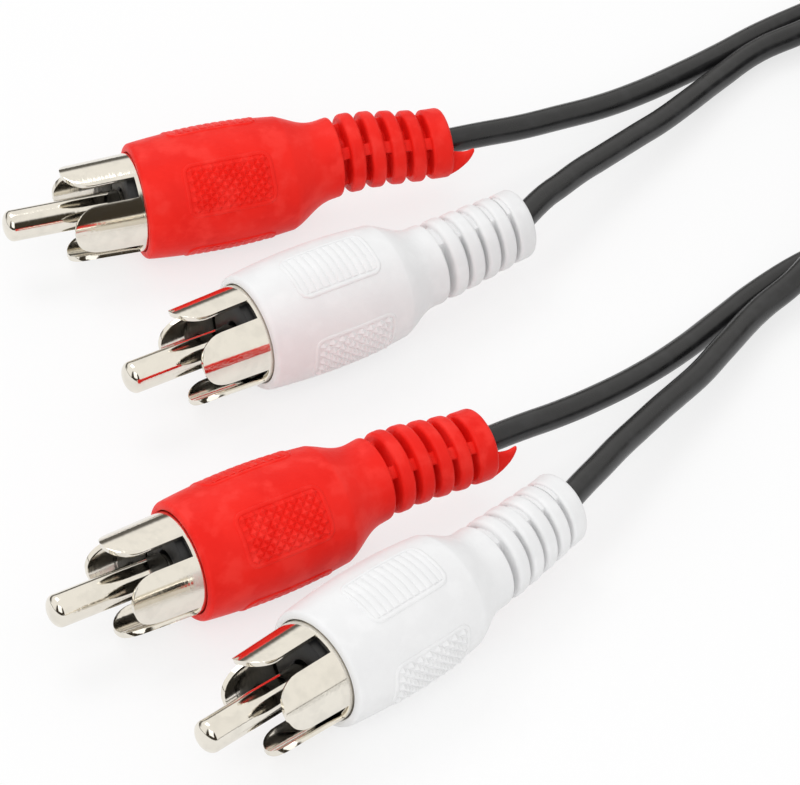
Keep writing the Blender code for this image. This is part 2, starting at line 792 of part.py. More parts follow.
def main():
    """Clears the scene and builds the four plugs, their strands, the coil and the tie."""
    for thing in list(bpy.data.objects):
        bpy.data.objects.remove(thing, do_unlink=True)
    nickel = make_material("nickel", NICKEL, 0.22, 1.0)
    black = make_material("black_moulding", BLACK, 0.45, 0.0)
    jacket = make_material("black_jacket", BLACK, 0.38, 0.0)
    copper = make_material("copper", COPPER, 0.35, 1.0)
    clear = make_material("natural_dielectric", CLEAR, 0.5, 0.0)
    mouldings = {
        RED: make_material("red_moulding", RED, 0.42, 0.0),
        WHITE: make_material("white_moulding", WHITE, 0.42, 0.0),
    }
    eight = tuple(45.0 * k for k in range(8))
    insulator_angles = SMALL_ANGLES
    for plug in PLUGS:
        place = bpy.data.objects.new(plug.name, None)
        place.location = (plug.tip_x * MM, plug.tip_y * MM, axis_height(plug) * MM)
        place.rotation_euler = (0.0, 0.0, math.radians(plug.heading))
        bpy.context.scene.collection.objects.link(place)
        make_body(plug, mouldings[plug.colour], place)
        make_shell(plug, nickel, place)
        make_pin(plug, nickel, place)
        make_sleeve(
            plug.name + "_insulator",
            black,
            place,
            INSULATOR_FACE,
            INSULATOR_FACE + INSULATOR_LENGTH,
            PIN_NECK_RADIUS + CLEARANCE,
            SHELL_RADIUS - SHELL_WALL - CLEARANCE,
            insulator_angles,
        )
        make_sleeve(
            plug.name + "_dielectric",
            clear,
            place,
            DIELECTRIC_START,
            JACKET_START - CLEARANCE,
            CONDUCTOR_RADIUS + CLEARANCE,
            DIELECTRIC_RADIUS,
            eight,
        )
        make_sleeve(
            plug.name + "_shield",
            copper,
            place,
            SHIELD_START,
            JACKET_START - CLEARANCE,
            SHIELD_BORE,
            SHIELD_BORE + SHIELD_WALL,
            eight,
        )
        make_conductor(plug, copper, place)
        make_strand(plug, jacket)
    make_coil(jacket)
    make_tie(black)


main()
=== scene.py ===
"""Audio cable: two red and two white moulded phono plugs on two black strands.

The two ends of the lead lie side by side on a pale floor, and the spare length between
them is wound into a coil that one band holds. Sizes are in millimetres until a mesh or a
curve is made, which is in metres. Distances called s run along a plug's axis, from just
behind the tip of its pin towards the strand. Outlines are pairs of such a distance and
a radius.
"""

import logging
import math
from dataclasses import dataclass, field
from enum import Enum
from typing import Any, Iterable, Sequence

import bmesh
import bpy
import numpy as np
from mathutils import Matrix, Vector


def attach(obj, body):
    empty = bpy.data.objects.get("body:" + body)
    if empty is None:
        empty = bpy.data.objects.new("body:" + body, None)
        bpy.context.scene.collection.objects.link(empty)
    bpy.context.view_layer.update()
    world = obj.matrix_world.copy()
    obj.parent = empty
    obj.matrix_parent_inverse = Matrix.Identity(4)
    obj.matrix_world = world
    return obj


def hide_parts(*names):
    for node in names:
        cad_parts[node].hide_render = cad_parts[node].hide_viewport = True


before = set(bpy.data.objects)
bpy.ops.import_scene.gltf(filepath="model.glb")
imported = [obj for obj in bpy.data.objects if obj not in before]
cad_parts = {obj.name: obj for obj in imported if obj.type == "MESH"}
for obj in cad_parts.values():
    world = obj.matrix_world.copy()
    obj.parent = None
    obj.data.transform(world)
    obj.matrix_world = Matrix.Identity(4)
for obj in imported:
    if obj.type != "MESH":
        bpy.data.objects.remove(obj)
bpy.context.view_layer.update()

MM = 0.001
LOG = logging.getLogger("audio_cable")
FLOAT, WHOLE, MATERIAL = "NodeSocketFloat", "NodeSocketInt", "NodeSocketMaterial"
Pair = tuple[float, float]
Triple = tuple[float, float, float]


class Moulding(Enum):
    """Colour of a plug's moulding."""

    RED = "red"
    WHITE = "white"


# Node trees


class Signal:
    """A socket of a node tree, on which numbers are worked out as Python expressions."""

    def __init__(self, nodes: "Nodes", socket: Any) -> None:
        """Keeps the tree and the socket."""
        self.nodes, self.socket = nodes, socket

    def _math(self, operation: str, *values: Any) -> "Signal":
        """Adds a Math node that has the values as its inputs, in order."""
        settings = {"operation": operation}
        return self.nodes.add("ShaderNodeMath", settings, dict(enumerate(values)))

    def __add__(self, other: Any) -> "Signal":
        """Sum."""
        return self._math("ADD", self, other)

    __radd__ = __add__

    def __sub__(self, other: Any) -> "Signal":
        """Difference."""
        return self._math("SUBTRACT", self, other)

    def __rsub__(self, other: Any) -> "Signal":
        """Difference from a number."""
        return self._math("SUBTRACT", other, self)

    def __mul__(self, other: Any) -> "Signal":
        """Product."""
        return self._math("MULTIPLY", self, other)

    __rmul__ = __mul__

    def __truediv__(self, other: Any) -> "Signal":
        """Quotient."""
        return self._math("DIVIDE", self, other)

    def __rtruediv__(self, other: Any) -> "Signal":
        """Quotient of a number."""
        return self._math("DIVIDE", other, self)

    def __pow__(self, other: Any) -> "Signal":
        """Power."""
        return self._math("POWER", self, other)

    def __rpow__(self, other: Any) -> "Signal":
        """Power of a number."""
        return self._math("POWER", other, self)

    def cos(self) -> "Signal":
        """Cosine of an angle in radians."""
        return self._math("COSINE", self)

    def sin(self) -> "Signal":
        """Sine of an angle in radians."""
        return self._math("SINE", self)

    def least(self, other: Any) -> "Signal":
        """The smaller of two values."""
        return self._math("MINIMUM", self, other)

    def below(self, other: Any) -> "Signal":
        """1 where this is smaller, and 0 elsewhere."""
        return self._math("LESS_THAN", self, other)

    def ramp(self, low: float, high: float, start: float = 0.0, end: float = 1.0) -> "Signal":
        """A smooth step.

        Args:
            low: Value at which the step starts.
            high: Value at which it ends.
            start: Result at low.
            end: Result at high.

        Returns:
            The stepped value.
        """
        settings = {"interpolation_type": "SMOOTHSTEP"}
        sockets = {0: self, 1: low, 2: high, 3: start, 4: end}
        return self.nodes.add("ShaderNodeMapRange", settings, sockets)


class Nodes:
    """Adds nodes to one tree."""

    def __init__(self, tree: bpy.types.NodeTree) -> None:
        """Keeps the tree."""
        self.tree = tree

    def add(
        self,
        kind: str,
        settings: dict[str, Any] | None = None,
        sockets: dict[Any, Any] | None = None,
        out: Any = 0,
    ) -> Signal:
        """Adds one node.

        Args:
            kind: The node's type.
            settings: Its properties, which are set first.
            sockets: Values or links of its inputs, by name or number.
            out: Name or number of the output that is wanted.

        Returns:
            That output, or the node itself where it has none.
        """
        node = self.tree.nodes.new(kind)
        for name, value in (settings or {}).items():
            setattr(node, name, value)
        for key, value in (sockets or {}).items():
            if isinstance(value, Signal):
                self.tree.links.new(value.socket, node.inputs[key])
            else:
                node.inputs[key].default_value = value
        return Signal(self, node.outputs[out] if len(node.outputs) else node)

    def split(self, vector: Signal) -> list[Signal]:
        """The three parts of a vector."""
        return [self.add("ShaderNodeSeparateXYZ", None, {0: vector}, part) for part in range(3)]

    def mix(self, share: Signal, first: Signal | Triple, second: Signal | Triple) -> Signal:
        """Mixes two colours.

        Args:
            share: Share of the second colour.
            first: First colour.
            second: Second colour.

        Returns:
            The mixed colour.
        """
        pair = [v if isinstance(v, Signal) else (*v, 1.0) for v in (first, second)]
        settings = {"data_type": "RGBA", "clamp_factor": True}
        return self.add("ShaderNodeMix", settings, {0: share, 6: pair[0], 7: pair[1]}, 2)

    def noise(self, scale: float, detail: float = 2.0, place: Signal | None = None) -> Signal:
        """Noise over the piece.

        Args:
            scale: Number of features in a metre.
            detail: Number of finer octaves.
            place: Where it is read; Object coordinates if left out.

        Returns:
            Its value, about 0.5 on average.
        """
        where = place or self.add("ShaderNodeTexCoord", out="Object")
        sockets = {"Vector": where, "Scale": scale, "Detail": detail}
        return self.add("ShaderNodeTexNoise", None, sockets)

    def drawn(self, uv_map: str, scale: Triple) -> Signal:
        """Noise on a piece's own map, stretched into lines."""
        place = self.add("ShaderNodeUVMap", {"uv_map": uv_map})
        return self.noise(1.0, 2.0, self.add("ShaderNodeMapping", None, {0: place, 3: scale}))

    def bump(self, strength: float, depth: float, height: Signal) -> Signal:
        """A normal bent by a height, with its depth in metres."""
        sockets = {"Strength": strength, "Distance": depth, "Height": height}
        return self.add("ShaderNodeBump", None, sockets)


def emptied(owner: bpy.types.Material | bpy.types.World) -> Nodes:
    """Turns on an owner's node tree and empties it.

    Args:
        owner: A material or the world.

    Returns:
        Its tree, ready for new nodes.
    """
    owner.use_nodes = True
    owner.node_tree.nodes.clear()
    return Nodes(owner.node_tree)


# Finishes


class Finish:
    """A material with one Principled shader."""

    name: str

    def dress(self, nodes: Nodes) -> dict[str, Any]:
        """What the shader's sockets get."""
        return {}

    def shader(self, nodes: Nodes) -> Signal:
        """The shader with its sockets filled in."""
        return nodes.add("ShaderNodeBsdfPrincipled", None, self.dress(nodes))

    def make(self) -> bpy.types.Material:
        """Makes the material, or finds the one that is there.

        Returns:
            The material.
        """
        material = bpy.data.materials.get(self.name)
        if material is None:
            material = bpy.data.materials.new(self.name)
            nodes = emptied(material)
            nodes.add("ShaderNodeOutputMaterial", None, {0: self.shader(nodes)})
        return material


@dataclass(frozen=True)
class MouldedPlastic(Finish):
    """Soft moulded plastic: cloudy, scuffed, unevenly satin and finely grained."""

    name: str
    colour: Triple
    cloudy: Triple
    scuffed: Triple
    gloss: float
    roughness: float = 0.36
    unevenness: float = 0.12
    cloud_scale: float = 190.0
    scuff_scale: float = 430.0
    satin_scale: float = 900.0
    grain_scale: float = 2600.0
    grain_depth: float = 0.00005

    def dress(self, nodes: Nodes) -> dict[str, Any]:
        """Mixes the clouds and pale scuffs, and adds the satin and the grain.

        Args:
            nodes: The material's tree.

        Returns:
            What the shader's sockets get.
        """
        clouds = nodes.noise(self.cloud_scale, 4.0).ramp(0.36, 0.64)
        scuffs = nodes.noise(self.scuff_scale, 5.0).ramp(0.46, 0.66)
        moulded = nodes.mix(clouds, self.colour, self.cloudy)
        return {
            "Base Color": nodes.mix(scuffs, moulded, self.scuffed),
            "Roughness": nodes.noise(self.satin_scale) * self.unevenness + self.roughness,
            "Specular IOR Level": self.gloss,
            "Normal": nodes.bump(0.5, self.grain_depth, nodes.noise(self.grain_scale, 3.0)),
        }


@dataclass(frozen=True)
class BrightNickel(Finish):
    """Polished nickel plate, a little warm, with faint turning lines and smears."""

    name: str = "bright_nickel"
    colour: Triple = (0.82, 0.78, 0.70)
    roughness: float = 0.06
    unevenness: float = 0.08
    smear_scale: float = 700.0
    lines: Triple = (2600.0, 1.2, 1.0)
    line_depth: float = 0.000018

    def dress(self, nodes: Nodes) -> dict[str, Any]:
        """Adds turning lines along the piece's own length and uneven polish.

        Args:
            nodes: The material's tree.

        Returns:
            What the shader's sockets get.
        """
        smears = nodes.noise(self.smear_scale, 3.0)
        darker = tuple(0.93 * c for c in self.colour)
        return {
            "Base Color": nodes.mix(smears.ramp(0.4, 0.7), self.colour, darker),
            "Metallic": 1.0,
            "Roughness": smears * self.unevenness + self.roughness,
            "Normal": nodes.bump(0.6, self.line_depth, nodes.drawn("along", self.lines)),
        }


@dataclass(frozen=True)
class BlackJacket(Finish):
    """Black satin sheath with faint lines drawn along it."""

    name: str = "satin_black_sheath"
    colour: Triple = (0.0105, 0.0105, 0.011)
    gloss: float = 0.5
    roughness: float = 0.19
    unevenness: float = 0.22
    mark_scale: float = 500.0
    lines: Triple = (6.0, 26.0, 1.0)
    line_depth: float = 0.00003

    def dress(self, nodes: Nodes) -> dict[str, Any]:
        """Adds drawn lines along the strand, paler marks and an uneven satin.

        Args:
            nodes: The material's tree.

        Returns:
            What the shader's sockets get.
        """
        marks = nodes.noise(self.mark_scale, 3.0)
        pale = tuple(1.9 * c for c in self.colour)
        return {
            "Base Color": nodes.mix(marks.ramp(0.45, 0.75), self.colour, pale),
            "Specular IOR Level": self.gloss,
            "Roughness": marks * self.unevenness + self.roughness,
            "Normal": nodes.bump(0.35, self.line_depth, nodes.drawn("UVMap", self.lines)),
        }


@dataclass(frozen=True)
class PlainPart(Finish):
    """A small part of one substance with slight wear."""

    name: str
    colour: Triple
    roughness: float
    metallic: float = 0.0
    unevenness: float = 0.2
    wear_scale: float = 1200.0
    wear_depth: float = 0.00002

    def dress(self, nodes: Nodes) -> dict[str, Any]:
        """Adds slight unevenness of colour and polish.

        Args:
            nodes: The material's tree.

        Returns:
            What the shader's sockets get.
        """
        wear = nodes.noise(self.wear_scale, 3.0)
        paler = tuple(min(1.0, 1.18 * c + 0.004) for c in self.colour)
        return {
            "Base Color": nodes.mix(wear.ramp(0.4, 0.7), self.colour, paler),
            "Metallic": self.metallic,
            "Roughness": wear * self.unevenness + self.roughness,
            "Normal": nodes.bump(0.3, self.wear_depth, wear),
        }


@dataclass(frozen=True)
class PaleFloor(Finish):
    """White studio floor that keeps the shadows."""

    name: str = "pale_floor"
    white: float = 0.93
    lift: float = 0.72
    speckle_scale: float = 40.0

    def shader(self, nodes: Nodes) -> Signal:
        """A matt white that partly glows for the camera and for metal.

        Args:
            nodes: The material's tree.

        Returns:
            The mixed shader.
        """
        level, lower = (self.white,) * 3, (self.white - 0.01,) * 3
        colour = nodes.mix(nodes.noise(self.speckle_scale), level, lower)
        matt = nodes.add("ShaderNodeBsdfDiffuse", None, {"Color": colour})
        glow = nodes.add("ShaderNodeEmission", None, {"Color": (1, 1, 1, 1), "Strength": 1.0})
        rays = [nodes.add("ShaderNodeLightPath", out=f"Is {r} Ray") for r in ("Camera", "Glossy")]
        shown = (rays[0] + rays[1]).least(1.0) * self.lift
        return nodes.add("ShaderNodeMixShader", None, {0: shown, 1: matt, 2: glow})


RED_PLASTIC = MouldedPlastic(
    "soft_red_plastic", (0.89, 0.022, 0.014), (0.83, 0.016, 0.010), (0.91, 0.036, 0.026), 0.12
)
WHITE_PLASTIC = MouldedPlastic(
    "soft_white_plastic", (0.85, 0.85, 0.852), (0.83, 0.83, 0.833), (0.865, 0.865, 0.867), 0.25
)
NICKEL = BrightNickel()
JACKET = BlackJacket()
INSULATOR = PlainPart("hard_black_plastic", (0.013, 0.013, 0.014), 0.4)
COPPER = PlainPart("bare_copper", (0.80, 0.42, 0.26), 0.26, 1.0)
CLEAR = PlainPart("milky_dielectric", (0.80, 0.79, 0.74), 0.4)


# Meshes


def put(name: str, data: Any) -> bpy.types.Object:
    """Links a new object into the scene.

    Args:
        name: Its name.
        data: Its mesh, curve, camera or lamp.

    Returns:
        The object.
    """
    thing = bpy.data.objects.new(name, data)
    bpy.context.scene.collection.objects.link(thing)
    return thing


def make_piece(
    name: str, mesh: bpy.types.Mesh, finish: Finish, nodes: Sequence[str]
) -> bpy.types.Object:
    """Puts a finished mesh in the scene as one piece.

    Args:
        name: Name of the piece.
        mesh: Its mesh, with its place in it.
        finish: Its finish.
        nodes: CAD nodes that it stands for.

    Returns:
        The object.
    """
    mesh.materials.clear()
    mesh.materials.append(finish.make())
    mesh.name = name
    piece = put(name, mesh)
    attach(piece, "root")
    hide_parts(*nodes)
    return piece


def around(count: int) -> np.ndarray:
    """Even turns round an axis, in radians."""
    return np.linspace(0.0, 2 * math.pi, count, endpoint=False)


def about_x(degrees: float) -> Matrix:
    """A turn about the X axis."""
    return Matrix.Rotation(math.radians(degrees), 4, "X")


def arc(centre: Pair, reach: Pair, start: float, stop: float, steps: int) -> list[Pair]:
    """Points of a rounded corner.

    Args:
        centre: Its centre.
        reach: How far it goes from the centre, each way.
        start: Angle in degrees where it starts, from the first way towards the second.
        stop: Angle where it stops.
        steps: Number of steps.

    Returns:
        The points, with both ends.
    """
    turns = np.radians(np.linspace(start, stop, steps + 1))
    firsts = centre[0] + reach[0] * np.cos(turns)
    return list(zip(firsts, centre[1] + reach[1] * np.sin(turns)))


def loop_grid(
    rows: np.ndarray, closed_rows: bool = True, caps: bool = False
) -> bpy.types.Mesh:
    """Makes a skin from rings of points, each ring closed round the X axis.

    Args:
        rows: Points as an array of (ring, point of the ring, 3), in metres.
        closed_rows: Whether the last ring meets the first.
        caps: Whether the first and last rings are closed with a fan.

    Returns:
        The mesh.
    """
    count, across = rows.shape[:2]
    points = rows.reshape(-1, 3)
    strips = np.arange(count if closed_rows else count - 1)
    i, j = (a.ravel() for a in np.meshgrid(strips, np.arange(across), indexing="ij"))
    k, m = (i + 1) % count * across, (j + 1) % across
    i = i * across
    faces = np.stack([i + j, i + m, k + m, k + j], 1).tolist()
    if caps:
        first, last = len(points), (count - 1) * across
        points = np.vstack([points, rows[0].mean(0), rows[-1].mean(0)])
        for j in range(across):
            m = (j + 1) % across
            faces.append((m, j, first))
            faces.append((last + j, last + m, first + 1))
    mesh = bpy.data.meshes.new("skin")
    mesh.from_pydata(points.tolist(), [], faces)
    mesh.update()
    return mesh


def rings_from(profile: Iterable[tuple[float, Any]], turns: np.ndarray) -> np.ndarray:
    """Rings of points round the X axis.

    Args:
        profile: Distance and radius in millimetres; a radius may be one for each turn.
        turns: Angles round the axis, in radians.

    Returns:
        Points as (ring, point, 3), in metres.
    """
    rows = []
    for s, radius in profile:
        r = np.broadcast_to(np.asarray(radius, float), turns.shape)
        rows.append(np.stack([np.full(turns.shape, s), r * np.cos(turns), r * np.sin(turns)], 1))
    return np.array(rows) * MM


def map_along(mesh: bpy.types.Mesh) -> None:
    """Gives a mesh a map of its distance along X and of the turn about it.

    Args:
        mesh: The mesh.
    """
    layer = mesh.uv_layers.new(name="along")
    places = np.array([v.co for v in mesh.vertices])
    index = np.array([loop.vertex_index for loop in mesh.loops])
    turn = np.arctan2(places[:, 2], places[:, 1])[index]
    flat = np.stack([places[index, 0], turn], 1).astype(np.float32)
    layer.data.foreach_set("uv", flat.ravel())


def join(meshes: Iterable[bpy.types.Mesh], places: Iterable[Matrix]) -> bpy.types.Mesh:
    """Joins copies of meshes into one.

    Args:
        meshes: The meshes.
        places: A place for each.

    Returns:
        The joined mesh.
    """
    whole = bmesh.new()
    for mesh, place in zip(meshes, places):
        copy = mesh.copy()
        copy.transform(place)
        whole.from_mesh(copy)
        bpy.data.meshes.remove(copy)
    joined = bpy.data.meshes.new("joined")
    whole.to_mesh(joined)
    whole.free()
    return joined


def shade(mesh: bpy.types.Mesh, sharp: float) -> None:
    """Shades a mesh smoothly, with folds above an angle kept sharp.

    Args:
        mesh: The mesh.
        sharp: Angle in degrees.
    """
    work = bmesh.new()
    work.from_mesh(mesh)
    for face in work.faces:
        face.smooth = True
    for edge in work.edges:
        if len(edge.link_faces) == 2:
            edge.smooth = edge.calc_face_angle(0.0) < math.radians(sharp)
    work.to_mesh(mesh)
    work.free()


def settled(thing: bpy.types.Object) -> bpy.types.Mesh:
    """Turns an object with modifiers into a plain mesh and removes the object.

    Args:
        thing: The object.

    Returns:
        The evaluated mesh.
    """
    bpy.context.view_layer.update()
    graph = bpy.context.evaluated_depsgraph_get()
    mesh = bpy.data.meshes.new_from_object(thing.evaluated_get(graph))
    old = thing.data
    bpy.data.objects.remove(thing)
    bpy.data.meshes.remove(old)
    return mesh


class Growth(Nodes):
    """A geometry tree with named inputs."""

    def __init__(self, name: str, inputs: dict[str, tuple[str, Any]]) -> None:
        """Makes the tree.

        Args:
            name: Name of the tree.
            inputs: Kind of socket and value by name.
        """
        super().__init__(bpy.data.node_groups.new(name, "GeometryNodeTree"))
        self.values: dict[str, Any] = {}
        sockets = self.tree.interface
        sockets.new_socket("Geometry", in_out="OUTPUT", socket_type="NodeSocketGeometry")
        for label, (kind, value) in inputs.items():
            socket = sockets.new_socket(label, in_out="INPUT", socket_type=kind)
            self.values[socket.identifier] = value

    def given(self, label: str) -> Signal:
        """A named input."""
        return self.add("NodeGroupInput", out=label)

    def grow(self, shape: Signal) -> bpy.types.Mesh:
        """Ends the tree with Realize Instances and Set Material, and runs it.

        Args:
            shape: The geometry.

        Returns:
            The plain mesh that it makes.
        """
        real = self.add("GeometryNodeRealizeInstances", None, {0: shape})
        sockets = {"Geometry": real, "Material": self.given("Finish")}
        dressed = self.add("GeometryNodeSetMaterial", None, sockets)
        self.add("NodeGroupOutput", None, {0: dressed})
        seed = put("seed", bpy.data.meshes.new("seed"))
        modifier = seed.modifiers.new("grow", "NODES")
        modifier.node_group = self.tree
        for identifier, value in self.values.items():
            modifier[identifier] = value
        return settled(seed)

    def vector(self, x: Any, y: Any, z: Any) -> Signal:
        """A vector from three values."""
        return self.add("ShaderNodeCombineXYZ", None, {0: x, 1: y, 2: z})

    def place(self) -> list[Signal]:
        """The three coordinates of each point."""
        return self.split(self.add("GeometryNodeInputPosition"))

    def moved(self, shape: Signal, position: Signal) -> Signal:
        """Sets the points' places."""
        return self.add("GeometryNodeSetPosition", None, {"Geometry": shape, "Position": position})

    def together(self, *parts: Signal) -> Signal:
        """Joins parts of the geometry.

        Args:
            parts: The parts.

        Returns:
            All of them.
        """
        joined = self.add("GeometryNodeJoinGeometry")
        for part in parts:
            self.tree.links.new(part.socket, joined.socket.node.inputs[0])
        return joined

    def swept(self, line: Signal, steps: int, sides: int, radius: float, caps: bool) -> Signal:
        """A round bar along a line.

        Args:
            line: The line.
            steps: Number of points along it.
            sides: Number of points round it.
            radius: Radius of the bar.
            caps: Whether its ends are closed.

        Returns:
            The bar.
        """
        sockets = {"Curve": line, "Count": steps}
        even = self.add("GeometryNodeResampleCurve", {"mode": "COUNT"}, sockets)
        sockets = {"Resolution": sides, "Radius": radius}
        circle = self.add("GeometryNodeCurvePrimitiveCircle", {"mode": "RADIUS"}, sockets)
        sockets = {"Curve": even, "Profile Curve": circle, "Fill Caps": caps}
        return self.add("GeometryNodeCurveToMesh", None, sockets)

    def repeated(self, shape: Signal, points: Signal, scale: Any = (1.0, 1.0, 1.0)) -> Signal:
        """Real copies of a shape.

        Args:
            shape: The shape.
            points: Points on which the copies stand.
            scale: Their size each way.

        Returns:
            The copies.
        """
        sockets = {"Points": points, "Instance": shape, "Scale": scale}
        copies = self.add("GeometryNodeInstanceOnPoints", None, sockets)
        return self.add("GeometryNodeRealizeInstances", None, {0: copies})


# Camera, light and floor


@dataclass
class Studio:
    """The camera, the floor, the soft light and what the metal reflects."""

    camera_place: Triple = (0.01128, -0.37023, 0.31015)
    camera_tilt: float = 50.86
    sensor: float = 36.0
    lens: float = 225.0
    floor_half: float = 6.0
    aim: Triple = (0.0, 0.02, 0.0)
    lamps: dict[str, tuple[Triple, float, float]] = field(
        default_factory=lambda: {
            "key": ((-0.25, 0.35, 0.75), 0.42, 1.34),
            "fill": ((-0.15, -0.60, 0.50), 0.60, 1.5),
        }
    )
    sky: float = 0.80
    dark: Triple = (0.042, 0.034, 0.023)
    light: Triple = (1.0, 0.985, 0.955)
    horizon: Pair = (0.02, 0.07)
    near_way: Pair = (-0.17, -0.985)
    near_edge: Pair = (0.58, 0.72)
    near_top: Pair = (0.72, 0.88)
    rear_edge: Pair = (0.1, 0.5)
    rear_top: Pair = (0.22, 0.40)
    rear_depth: float = 0.9

    def build_camera(self) -> None:
        """Places the camera, and leaves the picture's colours plain."""
        data = bpy.data.cameras.new("camera")
        data.sensor_width, data.lens = self.sensor, self.lens
        data.clip_start, data.clip_end = 0.01, 50.0
        camera = put("camera", data)
        camera.location = self.camera_place
        camera.rotation_euler = (math.radians(self.camera_tilt), 0.0, 0.0)
        bpy.context.scene.camera = camera
        bpy.context.scene.view_settings.view_transform = "Standard"

    def build_floor(self) -> None:
        """Lays the floor under the cable."""
        mesh = bpy.data.meshes.new("floor")
        half = self.floor_half
        corners = [(-half, -half, 0), (half, -half, 0), (half, half, 0), (-half, half, 0)]
        mesh.from_pydata(corners, [], [(0, 1, 2, 3)])
        mesh.materials.append(PaleFloor().make())
        put("floor", mesh)

    def build_lamps(self) -> None:
        """Hangs the soft boxes."""
        for name, (place, size, power) in self.lamps.items():
            data = bpy.data.lights.new(name, "AREA")
            data.shape, data.size, data.energy = "SQUARE", size, power
            lamp = put(name, data)
            lamp.location = place
            way = Vector(self.aim) - Vector(place)
            lamp.rotation_euler = way.to_track_quat("-Z", "Y").to_euler()

    def build_room(self) -> None:
        """Surrounds the floor with an even light, and with a darker room for what is glossy."""
        world = bpy.data.worlds.new("room")
        bpy.context.scene.world = world
        nodes = emptied(world)
        x, y, z = nodes.split(nodes.add("ShaderNodeTexCoord", out="Generated"))
        horizon = z.ramp(*self.horizon)
        # Dark openings on the near side, where the camera stands, and low behind the cable
        level = (x * x + y * y + 0.0001) ** 0.5
        near = (x * self.near_way[0] + y * self.near_way[1]) / level
        facing = near.ramp(*self.near_edge) * z.ramp(*self.near_top, 1.0, 0.0)
        rear = (y / level).ramp(*self.rear_edge) * z.ramp(*self.rear_top, 1.0, 0.0)
        open_light = horizon * (1.0 - facing) * (1.0 - rear * self.rear_depth)
        reflected = nodes.mix(open_light, self.dark, self.light)
        glossy = nodes.add("ShaderNodeLightPath", out="Is Glossy Ray")
        even, shown = (
            nodes.add("ShaderNodeBackground", None, {"Color": colour, "Strength": strength})
            for colour, strength in (((1, 1, 1, 1), self.sky), (reflected, 1.0))
        )
        mixed = nodes.add("ShaderNodeMixShader", None, {0: glossy, 1: even, 2: shown})
        nodes.add("ShaderNodeOutputWorld", None, {0: mixed})


# The plugs


@dataclass(frozen=True)
class GripShape:
    """Outline of the moulded grip."""

    front: float = 13.3
    front_radius: float = 5.9
    crown: float = 21.3
    crown_radius: float = 6.35
    crease: float = 29.0
    crease_radius: float = 5.85
    crease_steps: tuple[float, ...] = (-0.35, -0.2, -0.08, 0.08, 0.2, 0.35)
    crease_sink: float = 0.012
    flange_start: float = 33.2
    flange_end: float = 34.4
    flange_radius: float = 4.1
    flange_round: float = 0.28
    sag: float = 0.25
    rim_round: float = 0.45
    rim_swell: float = 0.04
    lip: float = 0.12
    bore: float = 5.14
    socket_back: float = 24.3
    inner_end: float = 30.3
    inner_radius: float = 2.8
    wire_radius: float = 1.7

    def radius(self, s: float) -> float:
        """Radius of the barrel.

        Args:
            s: Distance along it.

        Returns:
            The radius there.
        """
        if s < self.crown:
            share, end = (self.crown - s) / (self.crown - self.front), self.front_radius
        else:
            share, end = (s - self.crown) / (self.crease - self.crown), self.crease_radius
        return self.crown_radius - (self.crown_radius - end) * share**2

    def neck_radius(self, s: float) -> float:
        """Radius of the hollow taper.

        Args:
            s: Distance along it.

        Returns:
            The radius there.
        """
        t = (s - self.crease) / (self.flange_start - self.crease)
        line = self.crease_radius + (self.flange_radius - self.crease_radius) * t
        return line - self.sag * math.sin(math.pi * t) * t * 2.0

    def profile(self) -> list[Pair]:
        """The closed outline, from the back of the socket round to the back again.

        Returns:
            Distances and radii in millimetres.
        """
        points = [(self.socket_back, self.bore), (self.front + 0.3, self.bore)]
        lip, rim = self.bore + self.lip, self.rim_round
        points += arc((self.front + self.lip, lip), (self.lip, self.lip), 270.0, 180.0, 6)
        rise = self.front_radius - lip + self.rim_swell
        points += arc((self.front + rim, lip), (rim, rise), 180.0, 90.0, 8)[1:]
        barrel = np.arange(self.front + rim + 0.2, self.crease - 0.45, 0.3)
        points += [(s, self.radius(s)) for s in barrel]
        # The crease is turned over a small radius
        for off in self.crease_steps:
            s = self.crease + off
            pair = (s - 0.25, s) if off < 0 else (s, s)
            side = self.radius if off < 0 else self.neck_radius
            points.append((s, sum(map(side, pair)) / 2 - self.crease_sink))
        taper = np.arange(self.crease + 0.6, self.flange_start - 0.1, 0.25)
        points += [(s, self.neck_radius(s)) for s in taper]
        edge = self.flange_round
        shoulder, top = self.flange_end - edge, self.flange_radius
        points += [(self.flange_start, top), (shoulder - 0.3, top)]
        points += arc((shoulder, top - edge), (edge, edge), 90.0, 0.0, 5)
        points += [(self.flange_end, 3.0), (self.flange_end, self.wire_radius)]
        points += [(self.inner_end, self.wire_radius), (self.inner_end, self.inner_radius)]
        return points + [(self.socket_back, self.inner_radius)]


GRIP = GripShape()


